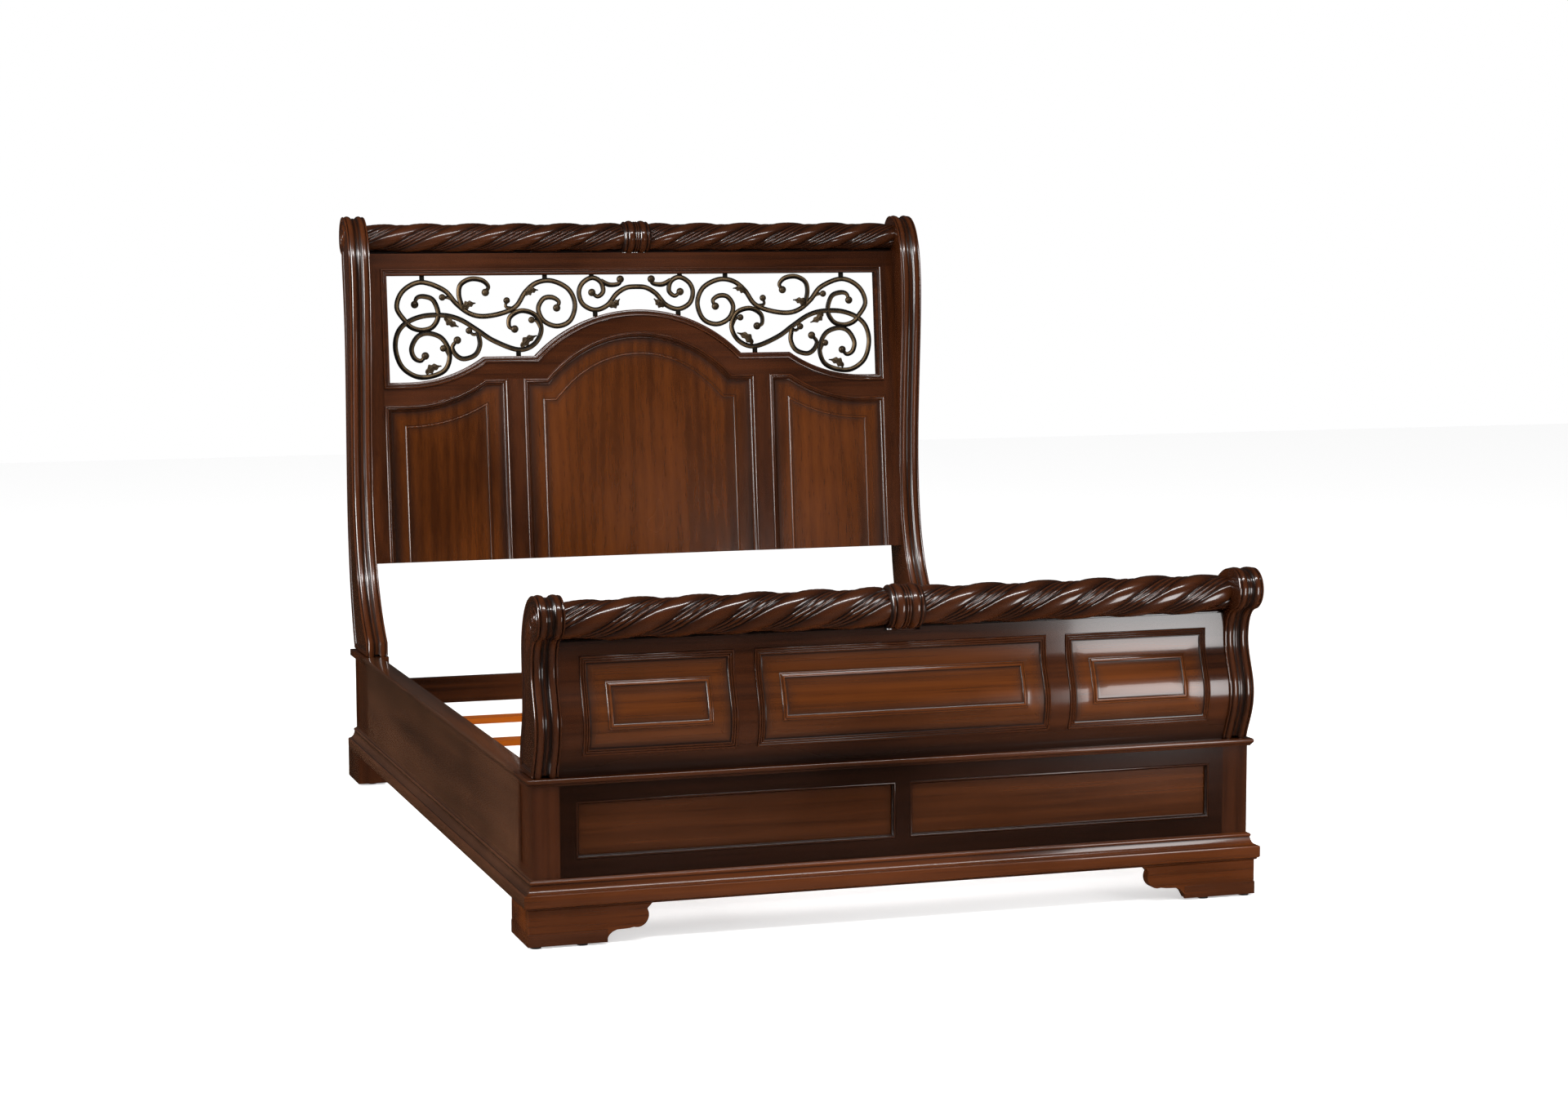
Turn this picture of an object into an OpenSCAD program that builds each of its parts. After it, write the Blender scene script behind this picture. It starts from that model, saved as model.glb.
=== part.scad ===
// Sleigh bed: panelled head and foot between scrolled posts, rope-turned top rails,
// iron scrollwork over an arched rail, a plinth with a ledge, bracket feet, slats on cleats.
// Millimetres, +X to the sitter's right, +Y to the headboard, +Z up, floor at z = 0.

/* [Overall] */
// Width across the side faces of the plinth
bed_w = 1720; // [1430:1:2070]
// Length from the front of the plinth to the back of the head corner posts
bed_l = 2220; // [1850:1:2670]
// Height of the headboard posts
head_h = 1608; // [1400:1:1930]
// Height of the footboard posts
foot_h = 782; // [720:1:940]
// Height of the underside of the ledge
ledge_z = 357; // [310:1:400]

/* [Posts] */
// Width of a post across the bed
post_w = 62; // [52:1:75]
// Width of each of the two rolls on a post's edge
roll_w = 24; // [18:1:26]
// Depth of the valley between the rolls
valley_d = 6; // [3:0.5:8]
// Width of the raised border on a post's outer side
border_w = 14; // [8:1:18]
// Depth of the sunk field inside that border
field_d = 3; // [1:0.5:5]
// Depth of a front corner post along the bed
foot_block_l = 135; // [125:1:170]
// Depth of a head corner post along the bed
head_block_l = 190; // [180:1:230]
// How far the foot post's roll stands in front of the plinth
foot_roll_out = 81; // [70:1:95]
// Radius of the foot post's roll
foot_roll_r = 50; // [44:1:56]
// How far the head post's roll stands behind the corner post
head_roll_out = 156; // [140:1:180]

/* [Headboard] */
// Height of the bottom edge of the panels
panel_z = 620; // [540:1:740]
// Set-back of the panels' bottom edge from the back of the corner posts
panel_back = 16; // [10:1:24]
// Thickness of the headboard frame
frame_t = 26; // [20:1:32]
// Visible width of the outer stiles
stile_w = 40; // [32:1:60]
// Width of the muntins between the panels
muntin_w = 47; // [36:1:60]
// Height of the rail between the opening and the panels
arched_rail_h = 66; // [55:1:80]
// Height of the board above the opening
top_board_h = 44; // [36:1:60]
// Width of the mouldings round the opening and the panels
mould_w = 18; // [12:1:22]
// How far these mouldings stand proud
mould_proud = 6; // [3:1:9]
// Height of the opening at its outer ends
open_h = 307; // [290:1:340]
// Rise from the outer ends of the sill to its shoulders
shoulder_rise = 71; // [50:1:80]
// Rise of the arch above the shoulders
arch_rise = 131; // [110:1:150]
// Border between a panel's moulding and its raised field
field_in = 42; // [30:1:50]
// Thickness of a panel
panel_t = 10; // [6:1:12]
// Height of the raised field
raise_t = 4; // [2:0.5:6]

/* [Rope rails] */
// Radius of the headboard's rope rail
head_rope_r = 42; // [36:1:44]
// Radius of the footboard's rope rail
foot_rope_r = 47; // [40:1:49]
// Length along a rope rail in which a strand turns once
rope_lead = 410; // [340:1:500]
// Width of the collar in the middle of each rope rail
collar_w = 84; // [70:1:100]
// How far the collar stands above the rope
collar_proud = 6; // [4:1:8]

/* [Footboard] */
// Thickness of the curved panel
curve_t = 20; // [16:1:28]
// Set-back of the curved panel behind the posts' front
curve_in = 8; // [4:1:14]
// Bottom of the raised panels above the ledge
foot_panel_lift = 48; // [40:1:60]
// Top of the raised panels below the middle of the rope rail
foot_panel_drop = 80; // [72:1:90]

/* [Plinth and base] */
// Thickness of the plinth's front frame
plinth_t = 22; // [18:1:28]
// Width of the plinth frame's stiles
plinth_stile_w = 36; // [28:1:50]
// Height of the plinth frame's visible top rail
plinth_top_h = 37; // [28:1:50]
// Height of the plinth frame's visible lower rail
plinth_low_h = 41; // [30:1:55]
// Width of the bead round a plinth panel
bead_w = 8; // [5:1:12]
// Thickness of the ledge
ledge_t = 17.5; // [12:0.5:24]
// Overhang of the ledge
ledge_out = 12; // [8:1:16]
// Height of the underside of the base moulding
base_z = 86; // [70:1:100]
// Height of the base moulding
base_h = 64; // [54:1:74]
// Overhang of the base moulding
base_out = 25; // [20:1:30]
// Overhang of a bracket foot
foot_out = 15; // [10:1:19]
// Width of a bracket foot at the floor
bracket_w = 175; // [150:1:200]
// Length of a bracket foot's side return
bracket_l = 165; // [140:1:200]
// Length of a rear foot along the bed
rear_foot_l = 164; // [140:1:190]
// Thickness of the glides under the feet
glide_t = 5; // [3:1:8]

/* [Side rails] */
// Thickness of a side rail
rail_t = 28; // [22:1:34]
// Width of a rail cap
cap_w = 55; // [50:1:70]
// Width of a slat cleat
cleat_w = 26; // [20:1:34]
// Height of a slat cleat
cleat_h = 26; // [20:1:34]

/* [Slats and legs] */
// Height of the top of the slats
slat_z = 298; // [270:1:304]
// Number of slats
slat_n = 4; // [4:1:7]
// Width of a slat
slat_w = 52; // [44:1:90]
// Thickness of a slat
slat_t = 15; // [12:1:22]
// Free gap between a slat's end and the rail
slat_gap = 2; // [1:0.5:4]
// Width of a centre leg
leg_w = 45; // [38:1:55]
// Radius of a leveller's threaded stem
stem_r = 5; // [4:0.5:6]
// Radius of a leveller's foot
pad_r = 20; // [16:1:22]
// Travel of a leveller
leveller_travel = 15; // [10:1:20]

/* [Scrollwork] */
// Width of an iron rod
rod_w = 13; // [10:1:15]
// Thickness of the castings from front to back
rod_t = 11; // [8:1:14]
// Radius of the balls at the rods' ends
ball_r = 9; // [7:0.5:11]

/* [Hidden] */

$fn = 48;
eps = 0.3;                  // gap left where curved pieces meet
cut = 1;                    // how far a cutter runs past a face
half_w = bed_w / 2;
post_x = half_w - post_w;   // inner face of the posts
ledge_top = ledge_z + ledge_t;
mid_y = (bed_l + head_roll_out - foot_roll_out) / 2;

// ---- curves -------------------------------------------------------------------------

// A cubic curve without its last point, so that pieces join end to end
function bezier(a, b, c, d, n = 7) = [for (i = [0:n - 1]) let (t = i / n, s = 1 - t)
    s * s * s * a + 3 * s * s * t * b + 3 * s * t * t * c + t * t * t * d];

function unit(v) = v / norm(v);

// A clockwise outline moved inwards by d, with mitred corners
function inset(p, d) = let (n = len(p)) [for (i = [0:n - 1])
    let (e = unit(p[i] - p[(i + n - 1) % n]), f = unit(p[(i + 1) % n] - p[i]))
    p[i] + d * [e.y + f.y, -e.x - f.x] / (1 + e * f)];

function backwards(p) = [for (i = [len(p) - 1:-1:0]) p[i]];

function flipped(p) = [for (i = [len(p) - 1:-1:0]) [-p[i].x, p[i].y]];

// Side view of a head post: y from the back of the corner posts, height as a share of the rise
function hp(dy, f) = [bed_l + dy, ledge_top + f * (head_h - ledge_top)];

head_side = concat([hp(-180, 0)],
    bezier(hp(-180, 0.033), hp(-50, 0.118), hp(8, 0.248), hp(4, 0.458)),
    bezier(hp(4, 0.458), hp(4, 0.556), hp(-18, 0.702), hp(-18, 0.811)),
    bezier(hp(-18, 0.811), hp(-18, 0.896), hp(10, 1), hp(102, 1)),
    bezier(hp(102, 1), hp(132, 1), hp(head_roll_out, 0.977), hp(head_roll_out, 0.949)),
    bezier(hp(head_roll_out, 0.949), hp(head_roll_out, 0.925), hp(140, 0.914), hp(112, 0.908)),
    bezier(hp(117, 0.9), hp(110, 0.848), hp(89, 0.775), hp(89, 0.69)),
    bezier(hp(89, 0.69), hp(89, 0.572), hp(98, 0.467), hp(98, 0.345)),
    bezier(hp(98, 0.345), hp(98, 0.223), hp(70, 0.086), hp(16, 0)),
    [hp(16, 0)]);

// Side view of a foot post: the belly and neck sit between the ledge and the roll
roll_y = foot_roll_r - foot_roll_out;
roll_z = foot_h - foot_roll_r;
neck_z = roll_z - 116;
belly_z = ledge_top + 0.466 * (neck_z - ledge_top);

function foot_front(d) = concat(
    bezier([d, ledge_top], [d - 10, ledge_top + 36], [d - 37, belly_z - 50], [d - 37, belly_z]),
    bezier([d - 37, belly_z], [d - 37, belly_z + 48], [d - 4, neck_z - 46], [d - 4, neck_z]));

foot_side = concat(foot_front(0),
    bezier([-4, neck_z], [-4, neck_z + 30], [-14, roll_z - 56],
        [roll_y, roll_z] + foot_roll_r * [cos(-100), sin(-100)], 4),
    [for (i = [0:17]) [roll_y, roll_z] + foot_roll_r * [cos(-100 - 10 * i), sin(-100 - 10 * i)]],
    bezier([roll_y + 4, foot_h], [44, foot_h], [93, roll_z - 15], [93, neck_z + 34]),
    bezier([93, neck_z + 34], [93, neck_z - 10], [89, belly_z + 85], [89, belly_z + 40]),
    bezier([89, belly_z + 40], [89, belly_z - 10], [121, belly_z - 32], [121, ledge_top]),
    [[121, ledge_top]]);

// ---- placing ------------------------------------------------------------------------

module bed() { translate([0, -mid_y, 0]) children(); }

module on(side) { mirror([side < 0 ? 1 : 0, 0, 0]) children(); }

// An outline in (y, z) made into a solid from x = a to x = b
module along_x(a, b) { translate([a, 0, 0]) rotate([90, 0, 90]) linear_extrude(b - a) children(); }

// An outline in (x, z) made into a solid from y = a to y = b
module along_y(a, b) { translate([0, b, 0]) rotate([90, 0, 0]) linear_extrude(b - a) children(); }

// An outline in (x, y) made into a solid from z = a to z = b
module upright(a, b) { translate([0, 0, a]) linear_extrude(b - a) children(); }

module block(a, b) { translate(a) cube(b - a); }

module box2(a, b) { translate(a) square(b - a); }

module mahogany() { color([0.33, 0.17, 0.10]) bed() children(); }

module amber() { color([0.53, 0.30, 0.10]) bed() children(); }

module iron() { color([0.20, 0.18, 0.15]) bed() children(); }

module pine() { color([0.85, 0.55, 0.25]) bed() children(); }

module nylon() { color([0.10, 0.10, 0.10]) bed() children(); }

module steel() { color([0.55, 0.56, 0.58]) bed() children(); }

// ---- posts --------------------------------------------------------------------------

// Two full rolls with a valley between, and a sunk field on the outer side
module post(side_view) {
    along_x(post_x, half_w) polygon(inset(side_view, valley_d));
    along_x(post_x, post_x + roll_w) polygon(side_view);
    difference() {
        along_x(half_w - roll_w, half_w) polygon(side_view);
        along_x(half_w - field_d, half_w + cut) polygon(inset(side_view, border_w));
    }
}

module head_post(side) { mahogany() on(side) post(head_side); }

module foot_post(side) { mahogany() on(side) post(foot_side); }

module corner_post(y0, y1, back) {
    border = 20;
    bolt_y = back ? y0 : y1;
    difference() {
        block([post_x, y0, base_z], [half_w, y1, ledge_z]);
        block([half_w - field_d, y0 + border, base_z + base_h + border],
            [half_w + cut, y1 - border, ledge_z - border / 2]);
        bolt_holes(bolt_y, back ? 1 : -1);
    }
}

module foot_corner_post(side) { mahogany() on(side) corner_post(0, foot_block_l, false); }

module head_corner_post(side) {
    mahogany() on(side) {
        corner_post(bed_l - head_block_l, bed_l, true);
        block([post_x, bed_l - head_block_l, ledge_z], [half_w + ledge_out, bed_l + 16, ledge_top]);
    }
}

// ---- headboard ----------------------------------------------------------------------

rope_y = bed_l + 87;
rope_z = head_h - 62;
panel_y = bed_l - panel_back;
top_y = rope_y - frame_t / 2 - 3;
top_z = rope_z - head_rope_r - eps;
lean = atan((top_y - panel_y) / (top_z - panel_z));
frame_h = (top_z - panel_z) / cos(lean) - frame_t * tan(lean);
drawn_half = 740;                       // the half opening that the scrolls are drawn for
open_half = post_x - stile_w - mould_w;
sx = open_half / drawn_half;            // stretch of everything that fits the opening
open_top = frame_h - top_board_h;
sill = open_top - mould_w - open_h;
arch_x = 312 * sx;
shoulder_x = 463 * sx;
flat_x = 690 * sx;
centre_half = 350 * sx;
arch_r = (arch_x * arch_x + arch_rise * arch_rise) / (2 * arch_rise);
cove_run = flat_x - shoulder_x;
cove_r = (cove_run * cove_run + shoulder_rise * shoulder_rise) / (2 * shoulder_rise);

// The headboard's own flat frame: x across, y back from its face, z up its slope
module leaning() { translate([0, panel_y, panel_z]) rotate([-lean, 0, 0]) children(); }

// Height of the sill line: an arch, a shoulder, a cove and a flat end
function sill_at(x) = let (a = abs(x)) sill
    + (a < arch_x ? shoulder_rise + arch_rise - arch_r + sqrt(arch_r * arch_r - a * a)
        : a < shoulder_x ? shoulder_rise
        : a < flat_x ? cove_r - sqrt(cove_r * cove_r - pow(flat_x - a, 2)) : 0);

// The right half of the sill line, from the middle out to x = e, lowered by d
function half_sill(e, d) = let (n = 8) concat(
    [for (i = [0:n - 1]) let (x = arch_x * i / n) [x, sill_at(x) - d]],
    [[arch_x, sill_at(arch_x) - d]],
    [for (i = [0:n - 1]) let (x = shoulder_x + cove_run * i / n) [x, sill_at(x) - d]],
    [[flat_x, sill - d], [e, sill - d]]);

function whole_sill(e, d) = let (p = half_sill(e, d))
    concat(backwards(p), [for (i = [1:len(p) - 1]) [-p[i].x, p[i].y]]);

open_line = concat([[-open_half, open_top - mould_w], [open_half, open_top - mould_w]],
    whole_sill(open_half, 0));

// Panel outlines, run past the bottom edge so that their mouldings have no bottom member
below = -100;
side_in = centre_half + muntin_w;
side_out = post_x - stile_w;

// A side panel's outline, moved inwards by d
function side_shape(d) = let (
    r = cove_r + d, low = sill - arched_rail_h, top = low + shoulder_rise - d, n = 8,
    x0 = side_in + d, x1 = side_out - d,
    xs = flat_x - sqrt(r * r - pow(low + cove_r - top, 2)),
    xa = max(x0, xs), xb = min(x1, flat_x))
    concat([[x0, below]], xs > x0 + 1 ? [[x0, top]] : [],
        [for (i = [0:n]) let (x = xa + (xb - xa) * i / n)
            [x, low + cove_r - sqrt(r * r - pow(flat_x - x, 2))]],
        x1 > xb + 1 ? [[x1, low - d]] : [], [[x1, below]]);

side_line = side_shape(0);
crown = [for (p = half_sill(side_out, arched_rail_h)) if (p.x < arch_x) [p.x * 0.9, p.y]];
crown_foot = [0.9 * arch_x, sill + shoulder_rise - arched_rail_h];
centre_half_line = concat(crown, [crown_foot, [centre_half, crown_foot.y], [centre_half, below]]);
centre_line = concat(flipped(centre_half_line),
    [for (i = [1:len(centre_half_line) - 1]) centre_half_line[i]]);
field_edge = mould_w + field_in;

module above_edge() { intersection() { children(); box2([-half_w, 0], [half_w, head_h]); } }

module head_top_board() {
    mahogany() difference() {
        leaning() block([-post_x, 0, open_top], [post_x, frame_t, frame_h]);
        collar_room(rope_y, rope_z, head_rope_r);
    }
}

module head_stiles() {
    mahogany() leaning() for (s = [-1, 1]) on(s)
        block([side_out, 0, 0], [post_x, frame_t, open_top]);
}

module head_muntins() {
    mahogany() leaning() for (s = [-1, 1]) on(s) block([centre_half, 0, 0],
        [side_in, frame_t, sill + shoulder_rise - arched_rail_h]);
}

module head_arched_rail() {
    mahogany() leaning() along_y(0, frame_t) difference() {
        polygon(concat(whole_sill(side_out, 0), [[-side_out, below], [side_out, below]]));
        polygon(inset(open_line, -mould_w));
        polygon(centre_line);
        polygon(side_line);
        polygon(flipped(side_line));
        for (s = [-1, 1]) mirror([s < 0 ? 1 : 0, 0])
            box2([centre_half - cut, below], [side_in + cut, sill + shoulder_rise - arched_rail_h]);
    }
}

module opening_moulding() {
    mahogany() leaning() {
        along_y(0, frame_t) difference() {
            polygon(inset(open_line, -mould_w));
            polygon(open_line);
        }
        along_y(-mould_proud, 0) difference() {
            polygon(inset(open_line, -mould_w));
            polygon(inset(open_line, -mould_w / 2));
        }
    }
}

module panel_plate(line, field) {
    amber() leaning() {
        along_y(mould_proud, mould_proud + panel_t) above_edge() polygon(line);
        along_y(mould_proud - raise_t, mould_proud) above_edge() polygon(field);
    }
}

module head_side_panel(side) { on(side) panel_plate(side_line, side_shape(field_edge)); }

module panel_moulding(line) {
    mahogany() leaning() {
        along_y(0, mould_proud) above_edge() difference() {
            polygon(line);
            polygon(inset(line, mould_w));
        }
        along_y(-mould_proud, 0) above_edge() difference() {
            polygon(inset(line, mould_w / 9));
            polygon(inset(line, mould_w / 2));
        }
    }
}

module head_stretcher() {
    low = slat_z - 76;
    mahogany() block([-post_x, bed_l - 100, low], [post_x, bed_l - 78, slat_z - 2]);
}

// ---- rope rails ---------------------------------------------------------------------

// Three fat strands, twisted along the rail; strands of the two halves lean the same way
module rope(len_x, r) {
    lobe = 0.44 * r;
    linear_extrude(len_x, twist = -360 * len_x / rope_lead, slices = 34)
        circle_of_lobes(r, lobe);
}

module circle_of_lobes(r, lobe) {
    n = 18;
    polygon([for (i = [0:n - 1]) let (a = 360 * i / n)
        (r - 0.16 * lobe * (1 - cos(3 * a))) * [cos(a), sin(a)]]);
}

module rope_rail(side, y, z, r) {
    run = post_x - collar_w / 2 - eps;
    mahogany() translate([side > 0 ? collar_w / 2 : -collar_w / 2 - run, y, z])
        rotate([0, 90, 0]) rope(run, r);
}

// Two turned rings with a hollow between
module collar(y, z, r) {
    h = collar_w / 2 - eps;
    edge = r + collar_proud;
    mahogany() translate([0, y, z]) rotate([0, 90, 0]) rotate_extrude() polygon([
        [0, -h], [r, -h], [edge, -0.8 * h], [edge, -0.3 * h], [r, -0.1 * h],
        [r, 0.1 * h], [edge, 0.3 * h], [edge, 0.8 * h], [r, h], [0, h]]);
}

// The hollow that lets a collar down into the piece below it
module collar_room(y, z, r) {
    translate([-collar_w / 2, y, z]) rotate([0, 90, 0])
        cylinder(h = collar_w, r = r + collar_proud + eps);
}

foot_rope_y = roll_y + 36;
foot_rope_z = roll_z - 12;

// ---- scrollwork ---------------------------------------------------------------------

// Points of a rod's middle line: x is stretched to the opening, z counts from the sill
function drawn(p) = [for (q = p) [q.x * sx, q.y + sill]];

// A smooth line through the points
function smooth(p, n = 3) = let (m = len(p) - 1) concat([for (i = [0:m - 1], j = [0:n - 1])
    let (a = p[max(i - 1, 0)], b = p[i], c = p[i + 1], d = p[min(i + 2, m)], t = j / n)
    0.5 * (2 * b + (c - a) * t + (2 * a - 5 * b + 4 * c - d) * t * t
        + (3 * b - 3 * c + d - a) * t * t * t)], [p[m]]);

// A rod of even width along a line
module rod(p) {
    n = len(p) - 1;
    across = [for (i = [0:n]) let (t = unit(p[min(i + 1, n)] - p[max(i - 1, 0)])) [t.y, -t.x]];
    polygon(concat([for (i = [0:n]) p[i] + across[i] * rod_w / 2],
        [for (i = [n:-1:0]) p[i] - across[i] * rod_w / 2]));
}

// A scroll with a ball at its inner end, and at its outer end too if it has one
module scroll(points, both_ends = false) {
    p = drawn(points);
    rod(smooth(p));
    translate(p[0]) circle(ball_r);
    if (both_ends) translate(p[len(p) - 1]) circle(ball_r);
}

// A short tab from a rod to the moulding above it
module tab_up(x, z) {
    box2([x * sx - rod_w / 2, z + sill], [x * sx + rod_w / 2, sill + open_h]);
}

// A short tab from a rod down to the sill
module tab_down(x, z) {
    a = x * sx - rod_w / 2;
    b = x * sx + rod_w / 2;
    polygon([[a, z + sill], [a, sill_at(a) + eps], [b, sill_at(b) + eps], [b, z + sill]]);
}

upper_scroll = [[-241, 210], [-234, 228], [-254, 241], [-280, 237], [-296, 208], [-281, 173],
    [-242, 157], [-202, 173], [-186, 220], [-205, 265], [-253, 289], [-298, 284], [-333, 257],
    [-362, 216], [-406, 196], [-462, 188], [-502, 198], [-538, 226], [-573, 265], [-639, 288],
    [-692, 263], [-711, 215], [-684, 172]];
inner_scroll = [[-659, 224], [-652, 243], [-631, 247], [-604, 235], [-591, 193], [-608, 160],
    [-639, 150], [-668, 157], [-686, 172]];
lower_scroll = [[-633, 76], [-647, 62], [-666, 72], [-672, 100], [-653, 132], [-621, 141],
    [-582, 125], [-562, 82], [-574, 38], [-613, 18], [-660, 17], [-702, 46], [-719, 98],
    [-710, 145], [-681, 174], [-633, 191], [-574, 192], [-527, 179], [-479, 149], [-431, 117],
    [-359, 90], [-311, 106], [-289, 147], [-305, 189], [-346, 203], [-380, 186], [-384, 158],
    [-368, 150]];
small_scroll = [[-538, 120], [-553, 101], [-544, 78], [-521, 66], [-487, 77],
    [-472, 107], [-477, 142]];
crook = [[-451, 257], [-442, 274], [-460, 292], [-494, 296], [-523, 280], [-529, 250], [-520, 214]];
heart = [[-134, 254], [-117, 242], [-100, 257], [-107, 285], [-133, 297],
    [-162, 281], [-173, 252], [-161, 219], [-126, 203], [-89, 216], [-60, 249], [-30, 267],
    [0, 270]];
wing = [[-47, 292], [-52, 279], [-80, 276], [-106, 288]];
module side_casting() {
    scroll(upper_scroll);
    scroll(inner_scroll);
    scroll(lower_scroll, true);
    scroll(small_scroll);
    scroll(crook);
    tab_up(-636, 286);
    tab_up(-274, 286);
    tab_down(-359, 91);
}

function both_sides(p) = concat(p, [for (i = [len(p) - 2:-1:0]) [-p[i].x, p[i].y]]);

module centre_casting() {
    scroll(both_sides(heart), true);
    for (s = [0, 1]) mirror([s, 0]) {
        scroll(wing);
        tab_up(-134, 295);
        tab_down(-126, 204);
    }
}

// The castings stand in the middle of the frame's thickness
module casting() {
    iron() leaning() along_y((frame_t - rod_t) / 2, (frame_t + rod_t) / 2) children();
}

module scrollwork_left() { casting() side_casting(); }

module scrollwork_right() { casting() mirror([1, 0]) side_casting(); }

module scrollwork_centre() { casting() centre_casting(); }

// ---- footboard ----------------------------------------------------------------------

foot_panel_top = foot_rope_z - foot_rope_r - eps;

// A slab that follows the footboard's curve, from d0 to d1 behind the posts' front
module curved_slab(d0, d1, a, b) {
    top = [[-4, neck_z], [-4, foot_panel_top]];
    back = concat(foot_front(d1), [for (p = top) p + [d1, 0]]);
    along_x(a, b) polygon(concat(foot_front(d0), [for (p = top) p + [d0, 0]], backwards(back)));
}

foot_low = ledge_top + foot_panel_lift;
foot_high = foot_rope_z - foot_panel_drop;

function rect(x0, x1, z0, z1) = [[x0, z0], [x0, z1], [x1, z1], [x1, z0]];

foot_side_line = rect(side_in, side_out - 8, foot_low, foot_high);
foot_centre_line = rect(-centre_half, centre_half, foot_low, foot_high);

module foot_curved_panel() {
    mahogany() difference() {
        curved_slab(curve_in, curve_in + curve_t, -post_x, post_x);
        collar_room(foot_rope_y, foot_rope_z, foot_rope_r);
    }
}

module foot_panel_moulding(line) {
    mahogany() intersection() {
        curved_slab(curve_in - mould_proud, curve_in, line[0].x, line[2].x);
        along_y(-100, 100) difference() {
            polygon(line);
            polygon(inset(line, mould_w));
        }
    }
}

module foot_raised_panels() {
    amber() for (line = [foot_side_line, foot_centre_line, flipped(foot_side_line)])
        intersection() {
            curved_slab(curve_in - raise_t, curve_in, line[0].x, line[2].x);
            along_y(-100, 100) polygon(inset(line, mould_w + field_in));
        }
}

// ---- ledge, plinth and base ---------------------------------------------------------

ledge_back = foot_block_l - 5;

module foot_ledge() {
    q = ledge_t / 3;
    w = half_w + ledge_out;
    mahogany() {
        block([-w, -ledge_out, ledge_z + q], [w, ledge_back, ledge_top]);
        block([-w + q, q - ledge_out, ledge_z], [w - q, ledge_back, ledge_z + q]);
    }
}

plinth_z = base_z + base_h + plinth_low_h;
plinth_top = ledge_z - plinth_top_h;
plinth_in = plinth_stile_w / 2 - 1;
plinth_out = post_x - plinth_stile_w;

module plinth_frame() {
    mahogany() along_y(0, plinth_t) difference() {
        box2([-post_x, base_z], [post_x, ledge_z]);
        for (s = [0, 1]) mirror([s, 0]) box2([plinth_in, plinth_z], [plinth_out, plinth_top]);
    }
}

module plinth_panels() {
    amber() for (s = [-1, 1]) on(s)
        block([plinth_in, plinth_t / 2, plinth_z], [plinth_out, plinth_t - 4, plinth_top]);
}

module plinth_beads() {
    mahogany() for (s = [-1, 1]) on(s) along_y(1, plinth_t / 2) difference() {
        box2([plinth_in, plinth_z], [plinth_out, plinth_top]);
        box2([plinth_in + bead_w, plinth_z + bead_w], [plinth_out - bead_w, plinth_top - bead_w]);
    }
}

// Section of the base moulding: a bead, a cove that sweeps out, and a fascia
module base_section() {
    polygon([[0, 0], [0.55, 0], [0.8, 0.09], [1, 0.16], [1, 0.5], [0.62, 0.56], [0.38, 0.68],
        [0.26, 0.84], [0.26, 0.93], [0.2, 1], [0, 1]] * [[base_out, 0], [0, base_h]]);
}

module base_moulding_front() {
    reach = half_w + base_out;
    mahogany() intersection() {
        along_x(-reach, reach) mirror([1, 0]) translate([0, base_z]) base_section();
        upright(base_z, base_z + base_h) polygon([[-half_w, 0], [-reach, -base_out],
            [reach, -base_out], [half_w, 0]]);
    }
}

module base_moulding_side(side) {
    reach = half_w + base_out;
    mahogany() on(side) intersection() {
        translate([half_w, bed_l, base_z]) rotate([90, 0, 0])
            linear_extrude(bed_l + base_out) base_section();
        upright(base_z, base_z + base_h) polygon([[half_w, 0], [reach, -base_out],
            [reach, bed_l], [half_w, bed_l]]);
    }
}

// Front view of a bracket foot, with the scroll that ends its wing
module bracket_view() {
    out = half_w + foot_out;
    in = out - bracket_w;
    curl = [in - 72, base_z - 26];
    polygon(concat([[out, glide_t], [in, glide_t], [in - 8, base_z - 66], [in - 26, base_z - 55],
        [in - 52, base_z - 54]], [for (i = [8:-1:0]) curl + 27 * [cos(150 + 17 * i),
        sin(150 + 17 * i)]], [[in - 107, base_z], [out, base_z]]));
}

module bracket_foot(side) {
    board = 28;
    lip = 7;
    lip_h = 29;
    out = half_w + foot_out;
    in = out - bracket_w;
    mahogany() on(side) {
        along_y(-foot_out, board - foot_out) bracket_view();
        block([out - board, -foot_out, glide_t], [out, bracket_l - foot_out, base_z]);
        block([out - board - 50, 0, glide_t], [out - board, board + 50, base_z]);
        block([in - 4, -foot_out - lip, glide_t], [out + lip, 0, glide_t + lip_h]);
        block([out - board, -foot_out - lip, glide_t],
            [out + lip, bracket_l - foot_out, glide_t + lip_h]);
    }
}

rear_foot_y = bed_l + 40 - rear_foot_l;

module rear_foot(side) {
    mahogany() on(side) block([post_x, rear_foot_y, glide_t],
        [half_w + base_out - 7, rear_foot_y + rear_foot_l, base_z]);
}

module glides() {
    nylon() for (s = [-1, 1]) on(s) for (p = [[half_w - 5, 0], [half_w - 110, 0],
        [half_w - 5, 110], [half_w - 25, rear_foot_y + 30],
        [half_w - 25, rear_foot_y + rear_foot_l - 30]])
        translate(p) cylinder(h = glide_t, r = 12);
}

// ---- side rails, slats and hardware -------------------------------------------------

rail_y0 = foot_block_l;
rail_y1 = bed_l - head_block_l;
rail_x = half_w - rail_t;
bracket_t = 4;
bolt_r = 4;
bolt_gap = 0.2;
bolt_z = [base_z + 50, base_z + 130];

// Holes for the bolts of a bracket that is set in the corner at y, its plates running to side d
module bolt_holes(y, d) {
    for (z = bolt_z) translate([post_x + 18, y - (d < 0 ? 30 : 0), z]) rotate([-90, 0, 0])
        cylinder(h = 30, r = bolt_r + bolt_gap);
}

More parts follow.
